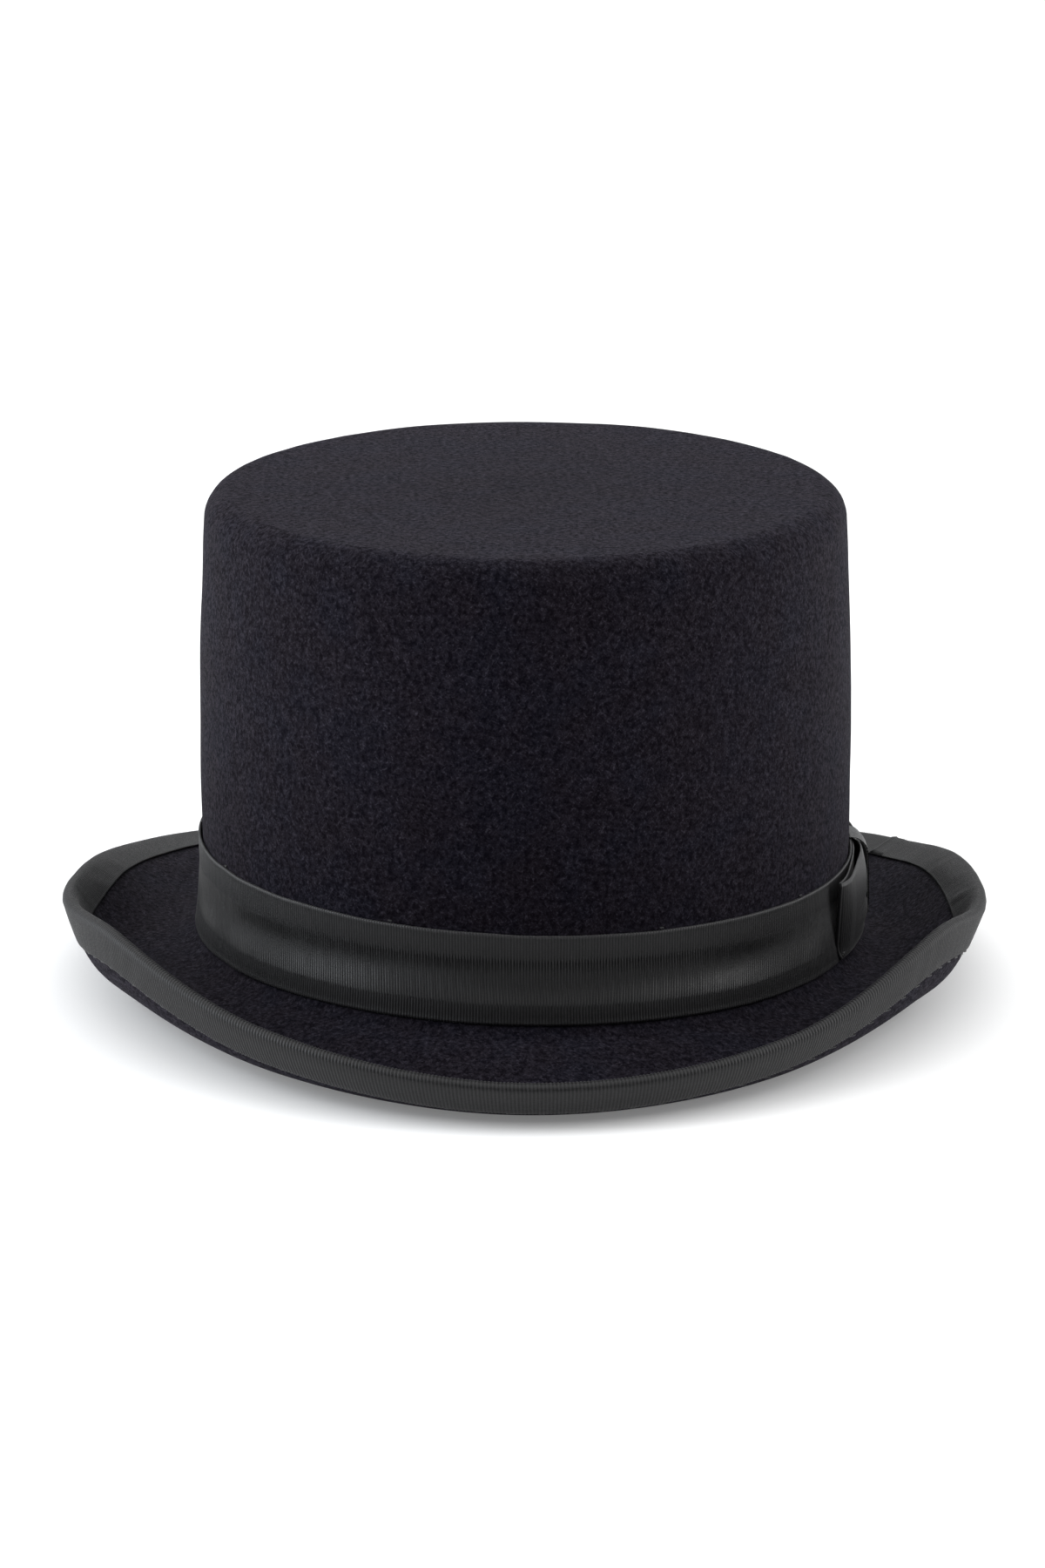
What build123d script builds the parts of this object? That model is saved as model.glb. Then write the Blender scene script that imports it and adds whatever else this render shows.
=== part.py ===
from build123d import *
import math, os

os.makedirs("parts", exist_ok=True)

# Stiff felt top hat, resting on its brim.  Millimetres, +Z up, brim lowest point on z = 0,
# crown axis on the origin, front of the hat toward -Y, wearer's left (bow side) toward +X.

# ---------------------------------------------------------------- driving dimensions
HAT_HEIGHT = 132.0          # flat of the tip above the rest plane
CROWN_A_BASE = 86.6         # outside half width of the crown, extrapolated foot
CROWN_A_MID = 88.5          # outside half width at mid height
CROWN_A_TOP = 86.1          # outside half width, extrapolated top
CROWN_FOOT_Z = -7.0         # height the three widths above are blended from
CROWN_LONGER = 15.93        # half length minus half width
TIP_EDGE_R = 7.6            # rounding between wall and tip
FELT_WALL = 2.2             # blocked felt, crown
FELT_BRIM = 2.5             # stiffened felt, brim and crown foot
FELT_TIP = 2.4

RIM_A = 125.37              # bound rim, half width
RIM_B = 155.58              # bound rim, half length
RIM_N_FRONT = 1.93          # superellipse exponent, front half
RIM_N_REAR = 1.98           # superellipse exponent, rear half
BREAK_R = 10.0              # mid radius of the bend from crown to brim
ROOT_Z = 17.1               # height where that bend starts, at the front
BAND_TILT_LOW = -0.0178     # the foot of the band drops toward +X
BAND_TILT_HIGH = -0.0268
# polar angle (deg), height of the rim end, upward tilt of the rim (deg)
RIM = [
    (-180.0, 21.5, 56.0), (-162.0, 25.9, 79.5), (-143.5, 29.1, 86.0), (-117.0, 17.7, 69.0),
    (-90.0, 11.1, 60.0), (-63.0, 15.5, 65.0), (-36.5, 29.3, 84.5), (-18.0, 25.1, 73.0),
    (0.0, 20.9, 26.0), (17.0, 18.9, 15.0), (35.1, 12.9, 23.5), (64.2, 4.9, 24.0),
    (90.0, 4.6, 22.0), (115.8, 4.7, 23.0), (144.9, 12.8, 14.5), (163.0, 18.2, 16.0),
]

RIBBON = 0.7                # grosgrain thickness
GAP = 0.15                  # running clearance between plies
BAND_TOP = 35.4             # top edge of the band at x = 0
BAND_W = 25.0               # ribbon width, measured along the surface
BINDING_W = 9.6             # binding width on each face of the brim
BINDING_T = 0.62

SWEAT_T = 1.2
SWEAT_H = 44.0
LINING_T = 0.3
REED_H = 0.85               # half width of the plastic reed

BOW_Y0, BOW_Y1 = -40.0, 54.0    # ends of the two loops along the band
KNOT_Y0, KNOT_Y1 = 0.5, 14.5


# ---------------------------------------------------------------- shape functions
def crown_a(z):
    u = (z - CROWN_FOOT_Z) / (HAT_HEIGHT - CROWN_FOOT_Z)
    return (CROWN_A_BASE * (1 - u) * (1 - 2 * u) + CROWN_A_MID * 4 * u * (1 - u)
            + CROWN_A_TOP * u * (2 * u - 1))


def oval_r(a, b, n, th):
    c, s = abs(math.cos(th)), abs(math.sin(th))
    return ((c / a) ** n + (s / b) ** n) ** (-1.0 / n)


def crown_r(th, z):
    a = crown_a(z)
    return oval_r(a, a + CROWN_LONGER, 2.0, th)


def rim_r(th):
    w = 0.5 - 0.5 * math.sin(th)
    n = RIM_N_REAR + (RIM_N_FRONT - RIM_N_REAR) * w
    return oval_r(RIM_A, RIM_B, n, th)


def rim_val(th, col):
    """Periodic cubic Hermite through the RIM table."""
    d = math.degrees(th)
    while d < -180.0:
        d += 360.0
    while d >= 180.0:
        d -= 360.0
    n = len(RIM)
    ang = [RIM[i % n][0] + 360.0 * (i // n) for i in range(-1, n + 3)]
    val = [RIM[i % n][col] for i in range(-1, n + 3)]
    k = 1
    while not (ang[k] <= d < ang[k + 1]):
        k += 1
    h = ang[k + 1] - ang[k]
    t = (d - ang[k]) / h
    m0 = (val[k + 1] - val[k - 1]) / (ang[k + 1] - ang[k - 1]) * h
    m1 = (val[k + 2] - val[k]) / (ang[k + 2] - ang[k]) * h
    return ((2 * t ** 3 - 3 * t ** 2 + 1) * val[k] + (t ** 3 - 2 * t ** 2 + t) * m0
            + (-2 * t ** 3 + 3 * t ** 2) * val[k + 1] + (t ** 3 - t ** 2) * m1)


def root_z(th):
    x = crown_r(th, 17.0) * math.cos(th)
    return ROOT_Z + BAND_TILT_LOW * x - 1.0 * (x / 87.7) ** 2


def spine(th):
    """Mid surface of the felt in the radial plane at th: list of (r, z, s), s = arc length
    from the start of the bend, negative up the wall, positive out along the brim."""
    zs = root_z(th)
    pts = []
    for i in range(28):
        z = zs + 70.0 * (1 - i / 28.0)
        pts.append((crown_r(th, z) - FELT_WALL / 2, z))
    r0 = crown_r(th, zs) - FELT_WALL / 2
    th0 = math.radians(-6.0 * abs(math.sin(th)) ** 2)
    span = math.pi / 2 + th0
    for i in range(13):
        al = span * i / 12.0
        pts.append((r0 + BREAK_R * (1 - math.cos(al)), zs - BREAK_R * math.sin(al)))
    p0 = pts[-1]
    ph = math.radians(rim_val(th, 2))
    k0, k1 = 10.9, 9.0 + 19.0 * math.sin(ph) ** 2     # a steep rim stands straight, a low one turns softly
    cap = BINDING_T + 0.12
    p3 = (rim_r(th) - cap * math.cos(ph), rim_val(th, 1) - cap * math.sin(ph))
    p1 = (p0[0] + k0 * math.cos(th0), p0[1] + k0 * math.sin(th0))
    p2 = (p3[0] - k1 * math.cos(ph), p3[1] - k1 * math.sin(ph))
    m = 40
    for i in range(1, m + 1):
        t = i / m
        b = ((1 - t) ** 3, 3 * t * (1 - t) ** 2, 3 * t * t * (1 - t), t ** 3)
        pts.append((b[0] * p0[0] + b[1] * p1[0] + b[2] * p2[0] + b[3] * p3[0],
                    b[0] * p0[1] + b[1] * p1[1] + b[2] * p2[1] + b[3] * p3[1]))
    out = []
    s = 0.0
    for i, p in enumerate(pts):
        if i:
            s += math.hypot(p[0] - pts[i - 1][0], p[1] - pts[i - 1][1])
        out.append([p[0], p[1], s])
    base = out[28][2]
    for o in out:
        o[2] -= base
    return out


SPINES = {}


def get_spine(th):
    k = round(th, 6)
    if k not in SPINES:
        SPINES[k] = spine(th)
    return SPINES[k]


def tip_s(th):
    return get_spine(th)[-1][2]


def on_spine(th, s, off):
    """Point (r, z) at arc length s, offset off along the normal (outward / upper side +)."""
    sp = get_spine(th)
    i = 0
    while i < len(sp) - 2 and sp[i + 1][2] < s:
        i += 1
    a, b = sp[i], sp[i + 1]
    f = (s - a[2]) / (b[2] - a[2])
    r, z = a[0] + (b[0] - a[0]) * f, a[1] + (b[1] - a[1]) * f

    def tan(j):
        j0, j1 = max(0, j - 1), min(len(sp) - 1, j + 1)
        dr, dz = sp[j1][0] - sp[j0][0], sp[j1][1] - sp[j0][1]
        l = math.hypot(dr, dz)
        return dr / l, dz / l
    ta, tb = tan(i), tan(i + 1)
    g = min(1.0, max(0.0, f))
    tr, tz = ta[0] + (tb[0] - ta[0]) * g, ta[1] + (tb[1] - ta[1]) * g
    l = math.hypot(tr, tz)
    tr, tz = tr / l, tz / l
    return r - tz * off, z + tr * off


def at(th, r, z):
    return Vector(r * math.cos(th), r * math.sin(th), z)


# Section angles of the two half rings. They stand closer beside the front and back joins and where
# the rim turns quickly from steep to low, so that the lofted skin keeps to the sections between them.
RIGHT = [math.radians(d) for d in (-90, -84, -75, -60, -45, -30, -20, -10, 0, 15, 30, 45, 60, 75, 84, 90)]
LEFT = [math.radians(d) for d in (90, 96, 105, 120, 135, 150, 160, 170, 180, 190, 200, 210, 225, 240, 255, 264, 270)]


def curve(pts):
    """Spline through evenly spaced points. Every section of a loft has the same parameters, which
    keeps the lofted faces light."""
    m = len(pts) - 1
    return Edge.make_spline(pts, parameters=[i / m for i in range(m + 1)])


def strip_wire(th, s0, s1, o0, o1, n, r_end=False):
    """Closed section: two splines along the spine between s0 and s1 at offsets o0 < o1."""
    low = [at(th, *on_spine(th, s0 + (s1 - s0) * i / n, o0)) for i in range(n + 1)]
    high = [at(th, *on_spine(th, s0 + (s1 - s0) * i / n, o1)) for i in range(n + 1)]
    e1 = curve(low)
    e3 = curve(list(reversed(high)))
    if r_end:
        om = (o0 + o1) / 2
        rr = (o1 - o0) / 2
        a, b = on_spine(th, s1, om), on_spine(th, s1 - 1.0, om)
        l = math.hypot(a[0] - b[0], a[1] - b[1])
        tip = at(th, a[0] + (a[0] - b[0]) / l * rr, a[1] + (a[1] - b[1]) / l * rr)
        e2 = Edge.make_three_point_arc(low[-1], tip, high[-1])
    else:
        e2 = Edge.make_line(low[-1], high[-1])
    e4 = Edge.make_line(high[0], low[0])
    return Wire([e1, e2, e3, e4])


def ring(fn, halves=(RIGHT, LEFT)):
    parts = [Solid.make_loft([fn(th) for th in h]) for h in halves]
    body = parts[0]
    for p in parts[1:]:
        body = body.fuse(p)
    return body


def oval_wire(a, b, z):
    return Wire([Edge.make_ellipse(max(a, b), min(a, b), plane=Plane((0, 0, z), x_dir=(0, 1, 0), z_dir=(0, 0, 1)))])


# ---------------------------------------------------------------- felt: crown, tip and brim in one blocked hood
def oval_solid(inset, z_low, z_top, r_edge, levels):
    """Oval body from z_low up, rounded over r_edge onto a flat at z_top."""
    z_r = z_top - r_edge

    def ov(z, back):
        a = crown_a(min(z, z_r)) - inset - back
        return oval_wire(a, a + CROWN_LONGER, z)
    wall = Solid.make_loft([ov(z_low + (z_r - z_low) * i / levels, 0.0) for i in range(levels + 1)])
    edge = Solid.make_loft([ov(z_r + r_edge * math.sin(math.radians(15 * k)),
                               r_edge * (1 - math.cos(math.radians(15 * k)))) for k in range(7)])
    return wall.fuse(edge)


Z_WALL_LOW = 11.5           # foot of the wall, buried in the bent foot of the brim
outer = oval_solid(0.0, Z_WALL_LOW, HAT_HEIGHT, TIP_EDGE_R, 6)
inner = oval_solid(FELT_WALL, Z_WALL_LOW - 6.0, HAT_HEIGHT - FELT_TIP, TIP_EDGE_R - FELT_WALL, 6)
crown = outer.cut(inner)


def felt_section(th):
    return strip_wire(th, -13.0, tip_s(th) - FELT_BRIM / 2, -FELT_BRIM / 2, FELT_BRIM / 2, 34, r_end=True)


brim = ring(felt_section)
felt = crown.fuse(brim)

PIECES = {}
PIECES["felt_body"] = felt


# ---------------------------------------------------------------- grosgrain band round the crown
BAND_LOW_S = 6.8            # the lower edge rides this far into the bend, so the ribbon flares
O_BAND = FELT_BRIM / 2 + GAP


def band_top_s(th):
    x = crown_r(th, BAND_TOP) * math.cos(th)
    return -(BAND_TOP + BAND_TILT_HIGH * x - root_z(th))


PIECES["hat_band"] = ring(lambda th: strip_wire(th, band_top_s(th), BAND_LOW_S, O_BAND, O_BAND + RIBBON, 14))


# ---------------------------------------------------------------- flat bow over the join of the band
def th_at_y(y, z=22.0):
    lo, hi = -math.pi / 2, math.pi / 2
    for _ in range(60):
        m = (lo + hi) / 2
        if crown_r(m, z) * math.sin(m) < y:
            lo = m
        else:
            hi = m
    return (lo + hi) / 2


O_BOW = O_BAND + RIBBON + GAP
PLY = 0.6


def loop_solid(y_fold, y_knot, bulge):
    """One flattened loop of ribbon: inner ply, bulged outer ply, joined at the fold and under the knot."""
    n = 7
    ths = [th_at_y(y_fold + (y_knot - y_fold) * i / n) for i in range(n + 1)]

    def gap(i):
        u = i / n
        return 0.25 + bulge * math.sin(math.pi * min(1.0, u * 1.12)) ** 0.8 if u < 0.88 else 0.25
    gaps = [gap(i) for i in range(n + 1)]
    top = 0.35

    def sec(th, o0, o1, cut=0.0):
        return strip_wire(th, band_top_s(th) + top + cut, BAND_LOW_S - 0.3 - cut, o0, o1, 7)
    inner_ply = Solid.make_loft([sec(t, O_BOW, O_BOW + PLY) for t in ths])
    outer_ply = Solid.make_loft([sec(t, O_BOW + PLY + g, O_BOW + 2 * PLY + g) for t, g in zip(ths, gaps)])
    d = math.copysign(0.0065, ths[-1] - ths[0])
    f0, f1 = ths[0] + d * 0.06, ths[0] + d * 0.9
    fold = Solid.make_loft([sec(t, O_BOW + 0.15, O_BOW + 2 * PLY + 0.1, 0.1) for t in (f0, (f0 + f1) / 2, f1)])
    k0, k1 = ths[-1] - d * 2.5, ths[-1] - d * 0.3
    knot_end = Solid.make_loft([sec(t, O_BOW + 0.15, O_BOW + 2 * PLY + 0.1, 0.1) for t in (k0, (k0 + k1) / 2, k1)])
    return inner_ply.fuse(fold).fuse(knot_end).fuse(outer_ply)


mid_y = (KNOT_Y0 + KNOT_Y1) / 2
front_loop = loop_solid(BOW_Y0, mid_y - 0.4, 3.2)
rear_loop = loop_solid(BOW_Y1, mid_y + 0.4, 3.2)
PIECES["bow_loops"] = [front_loop, rear_loop]

O_KNOT = O_BOW + 2 * PLY + 0.25 + 2.75
KNOT_T = 0.6


def knot_section(th):
    """C-shaped strip over the bow, its ends turned in over both edges of the band."""
    s0, s1 = band_top_s(th) - 1.0, BAND_LOW_S + 1.0
    n = 12
    o1 = O_KNOT + KNOT_T
    back = O_BAND + 0.1
    outer_pts = [at(th, *on_spine(th, s0 + (s1 - s0) * i / n, o1)) for i in range(n + 1)]
    i0, i1 = s0 + KNOT_T, s1 - KNOT_T
    inner_pts = [at(th, *on_spine(th, i0 + (i1 - i0) * i / n, O_KNOT)) for i in range(n + 1)]
    a = at(th, *on_spine(th, s0, back))
    b = at(th, *on_spine(th, i0, back))
    c = at(th, *on_spine(th, i1, back))
    d = at(th, *on_spine(th, s1, back))
    return Wire([
        Edge.make_spline(outer_pts),
        Edge.make_line(outer_pts[-1], d), Edge.make_line(d, c), Edge.make_line(c, inner_pts[-1]),
        Edge.make_spline(list(reversed(inner_pts))),
        Edge.make_line(inner_pts[0], b), Edge.make_line(b, a), Edge.make_line(a, outer_pts[0]),
    ])


knot_ths = [th_at_y(KNOT_Y0 + (KNOT_Y1 - KNOT_Y0) * i / 5) for i in range(6)]
PIECES["bow_knot"] = Solid.make_loft([knot_section(t) for t in knot_ths])


# ---------------------------------------------------------------- grosgrain binding folded over the rim
def binding_section(th, o_in=FELT_BRIM / 2 + 0.12, t=BINDING_T, width=BINDING_W):
    s_end = tip_s(th) - FELT_BRIM / 2
    s0 = tip_s(th) - width
    n = 8
    o_out = o_in + t

    def line(o):
        return [at(th, *on_spine(th, s0 + (s_end - s0) * i / n, o)) for i in range(n + 1)]
    a, b = on_spine(th, s_end, 0.0), on_spine(th, s_end - 0.5, 0.0)
    l = math.hypot(a[0] - b[0], a[1] - b[1])
    e = ((a[0] - b[0]) / l, (a[1] - b[1]) / l)
    up_o, dn_o, up_i, dn_i = line(o_out), line(-o_out), line(o_in), line(-o_in)
    tip_o = at(th, a[0] + e[0] * o_out, a[1] + e[1] * o_out)
    tip_i = at(th, a[0] + e[0] * o_in, a[1] + e[1] * o_in)
    return Wire([
        curve(up_o), Edge.make_three_point_arc(up_o[-1], tip_o, dn_o[-1]),
        curve(list(reversed(dn_o))), Edge.make_line(dn_o[0], dn_i[0]),
        curve(dn_i), Edge.make_three_point_arc(dn_i[-1], tip_i, up_i[-1]),
        curve(list(reversed(up_i))), Edge.make_line(up_i[0], up_o[0]),
    ])


binding = ring(binding_section)
JOIN = [math.radians(v) for v in (33.0, 34.5, 36.0, 37.5)]   # overlapped ends of the binding
lap = Solid.make_loft([binding_section(t, FELT_BRIM / 2 + 0.12 + BINDING_T - 0.1, 0.5, BINDING_W - 0.3) for t in JOIN])
PIECES["brim_binding"] = binding.fuse(lap)


# ---------------------------------------------------------------- inside: pieces hung on the crown wall
def wall_pt(th, z, off):
    return at(th, crown_r(th, z) - FELT_WALL / 2 + off, z)


def wall_wire(th, z0, z1, o0, o1, n=6):
    low = [wall_pt(th, z0 + (z1 - z0) * i / n, o0) for i in range(n + 1)]
    high = [wall_pt(th, z0 + (z1 - z0) * i / n, o1) for i in range(n + 1)]
    return Wire([curve(low), Edge.make_line(low[-1], high[-1]),
                 curve(list(reversed(high))), Edge.make_line(high[0], low[0])])


O_LIN = -(FELT_BRIM / 2 + GAP)                 # outer face of the lining wall
O_SW = O_LIN - LINING_T - GAP                  # back of the sweatband leather
SW_Z0 = -9.4                                   # lower edge of the leather, from the bend start
PIECES["sweatband"] = ring(lambda th: wall_wire(th, root_z(th) + SW_Z0, root_z(th) + SW_Z0 + SWEAT_H,
                                                O_SW - SWEAT_T, O_SW))

LIN_Z0, LIN_Z1 = 19.5, 121.0


def oval_wall(inset, z0, z1, levels=6):
    zz = [z0 + (z1 - z0) * i / levels for i in range(levels + 1)]
    return Solid.make_loft([oval_wire(crown_a(z) - inset, crown_a(z) + CROWN_LONGER - inset, z) for z in zz])


LIN_IN = FELT_WALL / 2 - O_LIN
PIECES["lining_wall"] = oval_wall(LIN_IN, LIN_Z0, LIN_Z1).cut(oval_wall(LIN_IN + LINING_T, LIN_Z0, LIN_Z1))


CUP_IN = FELT_WALL / 2 - O_SW                  # inset of the cup from the outside of the crown
cup_top = HAT_HEIGHT - FELT_TIP - 0.2
cup_out = oval_solid(CUP_IN, 117.0, cup_top, TIP_EDGE_R - CUP_IN, 1)
cup_in = oval_solid(CUP_IN + LINING_T, 116.0, cup_top - LINING_T, TIP_EDGE_R - CUP_IN - LINING_T, 1)
PIECES["lining_tip"] = cup_out.cut(cup_in)

REED_OFF, REED_DZ = O_SW + 1.45, -8.2          # centre of the reed behind the leather's lower edge


def reed_ring(h):
    return ring(lambda th: wall_wire(th, root_z(th) + REED_DZ - h, root_z(th) + REED_DZ + h,
                                     REED_OFF - h, REED_OFF + h, 4))


PIECES["sweatband_reed"] = reed_ring(REED_H)
tail = ring(lambda th: wall_wire(th, root_z(th) + REED_DZ + 0.2, root_z(th) + 0.8, O_LIN - 0.28, O_LIN, 4))
PIECES["reed_tape"] = reed_ring(REED_H + 0.37).fuse(tail).cut(reed_ring(REED_H + 0.1))


# ---------------------------------------------------------------- small parts
def stitch(p, q, up, w, h):
    """Short bar of thread from p to q, w wide and h high (h along up)."""
    d = (q - p)
    l = d.length
    pl = Plane(origin=p, x_dir=d.normalized(), z_dir=up)
    return Solid.make_box(l, w, h, plane=pl)


def ring_dir(th, fn, dth):
    return fn(th + dth), fn(th - dth)


stitches = []
N_SW = 96
for i in range(N_SW):
    th = 2 * math.pi * (i + 0.5) / N_SW - math.pi
    half = 1.35 / crown_r(th, 12.0)
    fn = lambda t: wall_pt(t, root_z(t) - 6.6, O_SW - SWEAT_T - 0.12)
    q, p = ring_dir(th, fn, half)
    stitches.append(stitch(p, q, Vector(-math.cos(th), -math.sin(th), 0), 0.45, 0.35))
PIECES["sweatband_stitches"] = stitches

under = []
N_BI = 120
for i in range(N_BI):
    th = 2 * math.pi * (i + 0.5) / N_BI - math.pi
    half = 0.9 / rim_r(th)
    fn = lambda t: at(t, *on_spine(t, tip_s(t) - BINDING_W - 0.75, -(FELT_BRIM / 2 + 0.12)))
    q, p = ring_dir(th, fn, half)
    a0 = on_spine(th, tip_s(th) - BINDING_W - 0.75, 0.0)
    a1 = on_spine(th, tip_s(th) - BINDING_W - 0.75, -1.0)
    up = Vector((a1[0] - a0[0]) * math.cos(th), (a1[0] - a0[0]) * math.sin(th), a1[1] - a0[1])
    under.append(stitch(p, q, up, 0.4, 0.3))
PIECES["binding_stitches"] = under

tacks = []
for dg in (-150, -110, -70, -40, 60, 100, 140, 180):
    th = math.radians(dg)
    fn = lambda t: at(t, *on_spine(t, band_top_s(t) - 0.55, O_BAND + 0.02))
    q, p = ring_dir(th, fn, 0.5 / crown_r(th, 35.0))
    tacks.append(stitch(p, q, Vector(math.cos(th), math.sin(th), 0), 0.35, 0.35))
PIECES["band_tacks"] = tacks

bow_tacks = []
for y in (BOW_Y0 + 1.6, BOW_Y1 - 1.6):
    for low in (0, 1):
        th = th_at_y(y)
        s = (BAND_LOW_S - 2.2) if low else (band_top_s(th) + 2.2)
        fn = lambda t: at(t, *on_spine(t, s, O_BOW + 2 * PLY + 1.15))
        q, p = ring_dir(th, fn, 0.5 / crown_r(th, 25.0))
        a0, a1 = on_spine(th, s, 0.0), on_spine(th, s, 1.0)
        up = Vector((a1[0] - a0[0]) * math.cos(th), (a1[0] - a0[0]) * math.sin(th), a1[1] - a0[1])
        bow_tacks.append(stitch(p, q, up, 0.35, 0.3))
PIECES["bow_tacks"] = bow_tacks

lin_tacks = []
for i in range(8):
    th = math.radians(-157.5 + 45 * i)
    fn = lambda t: wall_pt(t, LIN_Z0 - 0.5, O_LIN - 0.05)
    q, p = ring_dir(th, fn, 0.8 / crown_r(th, 18.0))
    lin_tacks.append(stitch(p, q, Vector(-math.cos(th), -math.sin(th), 0), 0.35, 0.3))
PIECES["lining_tacks"] = lin_tacks

LABEL = [math.radians(v) for v in (104.0, 106.5, 109.0, 111.5, 114.0)]
PIECES["size_label"] = Solid.make_loft([wall_wire(t, 22.0, 34.0, O_SW - SWEAT_T - 0.15 - 0.3, O_SW - SWEAT_T - 0.15, 4)
                                        for t in LABEL])

# small ribbon bow at the back of the sweatband
by = crown_r(math.pi / 2, 30.0) - FELT_WALL / 2 + O_SW - SWEAT_T - 0.25 - 1.6
bz = 44.0


def flat_loop(cx, half):
    pl = Plane(origin=(cx, by, bz - 2.5), x_dir=(1, 0, 0), z_dir=(0, 0, 1))
    o = Solid.extrude(Face(Wire([Edge.make_ellipse(half, 1.5, plane=pl)])), Vector(0, 0, 5.0))
    pl2 = Plane(origin=(cx, by, bz - 3.0), x_dir=(1, 0, 0), z_dir=(0, 0, 1))
    i = Solid.extrude(Face(Wire([Edge.make_ellipse(half - 0.4, 1.1, plane=pl2)])), Vector(0, 0, 6.0))
    return o.cut(i)


knot = Solid.make_box(3.4, 3.0, 5.6, plane=Plane(origin=(-1.7, by - 1.5, bz - 2.8)))
bow = flat_loop(-6.6, 5.6).fuse(knot).fuse(flat_loop(6.6, 5.6))
PIECES["sweatband_bow"] = bow

# ---------------------------------------------------------------- settle on z = 0 and centre the box
lo = [1e9] * 3
hi = [-1e9] * 3
for v in PIECES.values():
    for sh in (v if isinstance(v, list) else [v]):
        bb = sh.bounding_box(tolerance=1e-4)
        for k, (p, q) in enumerate(((bb.min.X, bb.max.X), (bb.min.Y, bb.max.Y), (bb.min.Z, bb.max.Z))):
            lo[k], hi[k] = min(lo[k], p), max(hi[k], q)
move = Location((-(lo[0] + hi[0]) / 2, -(lo[1] + hi[1]) / 2, -lo[2]))
print("box", [round(v, 3) for v in lo], [round(v, 3) for v in hi], "moved", move.position)


def flat_list(v):
    out = []
    for sh in (v if isinstance(v, list) else [v]):
        out.extend(sh.solids())
    return out


for name, v in PIECES.items():
    sol = [s.moved(move) for s in flat_list(v)]
    out = sol[0] if len(sol) == 1 else Compound(children=sol)
    export_step(out, f"parts/{name}.step")
    print(name, len(sol), "solids", round(sum(s.volume for s in sol), 1), "mm3, valid",
          all(s.is_valid for s in sol), flush=True)
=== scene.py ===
import bpy
import math
import numpy as np
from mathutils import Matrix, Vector

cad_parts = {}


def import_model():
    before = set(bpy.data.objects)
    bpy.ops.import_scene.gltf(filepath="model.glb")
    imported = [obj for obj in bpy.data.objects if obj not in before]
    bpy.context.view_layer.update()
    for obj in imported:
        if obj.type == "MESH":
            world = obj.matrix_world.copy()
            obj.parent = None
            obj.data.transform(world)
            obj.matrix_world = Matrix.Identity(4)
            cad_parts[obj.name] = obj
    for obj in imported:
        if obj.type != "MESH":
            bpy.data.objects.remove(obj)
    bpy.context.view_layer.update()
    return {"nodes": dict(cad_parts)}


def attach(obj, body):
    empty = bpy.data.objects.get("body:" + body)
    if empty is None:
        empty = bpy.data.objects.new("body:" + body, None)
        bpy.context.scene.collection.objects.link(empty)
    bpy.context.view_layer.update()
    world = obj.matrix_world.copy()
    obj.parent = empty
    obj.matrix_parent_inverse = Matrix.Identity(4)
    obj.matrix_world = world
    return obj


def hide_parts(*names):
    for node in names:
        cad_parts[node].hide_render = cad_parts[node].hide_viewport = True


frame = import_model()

MM = 0.001

# ------------------------------------------------------------------ the hat's shape, as in the CAD model (mm)
MOVE = np.array([0.349031, 0.419316, 1.08209])
HAT_HEIGHT = 132.0
CROWN_A_BASE, CROWN_A_MID, CROWN_A_TOP, CROWN_FOOT_Z = 86.6, 88.5, 86.1, -7.0
CROWN_LONGER = 15.93
TIP_EDGE_R = 7.6
FELT_WALL, FELT_BRIM, FELT_TIP = 2.2, 2.5, 2.4
RIM_A, RIM_B, RIM_N_FRONT, RIM_N_REAR = 125.37, 155.58, 1.93, 1.98
BREAK_R = 10.0
ROOT_Z = 17.1
BAND_TILT_LOW, BAND_TILT_HIGH = -0.0178, -0.0268
RIM = [
    (-180.0, 21.5, 56.0), (-162.0, 25.9, 79.5), (-143.5, 29.1, 86.0), (-117.0, 17.7, 69.0),
    (-90.0, 11.1, 60.0), (-63.0, 15.5, 65.0), (-36.5, 29.3, 84.5), (-18.0, 25.1, 73.0),
    (0.0, 20.9, 26.0), (17.0, 18.9, 15.0), (35.1, 12.9, 23.5), (64.2, 4.9, 24.0),
    (90.0, 4.6, 22.0), (115.8, 4.7, 23.0), (144.9, 12.8, 14.5), (163.0, 18.2, 16.0),
]
RIBBON, GAP = 0.7, 0.15
BAND_TOP = 35.4
BINDING_W, BINDING_T = 9.6, 0.62
SWEAT_T, SWEAT_H = 1.2, 44.0
LINING_T = 0.3
BAND_LOW_S = 6.8
O_BAND = FELT_BRIM / 2 + GAP
PLY = 0.6
O_BOW = O_BAND + RIBBON + GAP
O_KNOT = O_BOW + 2 * PLY + 0.25 + 2.75
KNOT_T = 0.6
O_LIN = -(FELT_BRIM / 2 + GAP)
O_SW = O_LIN - LINING_T - GAP
SW_Z0 = -9.4
LIN_Z0, LIN_Z1 = 19.5, 121.0
BOW_Y0, BOW_Y1 = -40.0, 54.0
KNOT_Y0, KNOT_Y1 = 0.5, 14.5


def crown_a(z):
    u = (z - CROWN_FOOT_Z) / (HAT_HEIGHT - CROWN_FOOT_Z)
    return CROWN_A_BASE * (1 - u) * (1 - 2 * u) + CROWN_A_MID * 4 * u * (1 - u) + CROWN_A_TOP * u * (2 * u - 1)


def oval_r(a, b, n, th):
    return ((np.abs(np.cos(th)) / a) ** n + (np.abs(np.sin(th)) / b) ** n) ** (-1.0 / n)


def crown_r(th, z):
    a = crown_a(z)
    return oval_r(a, a + CROWN_LONGER, 2.0, th)


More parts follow.
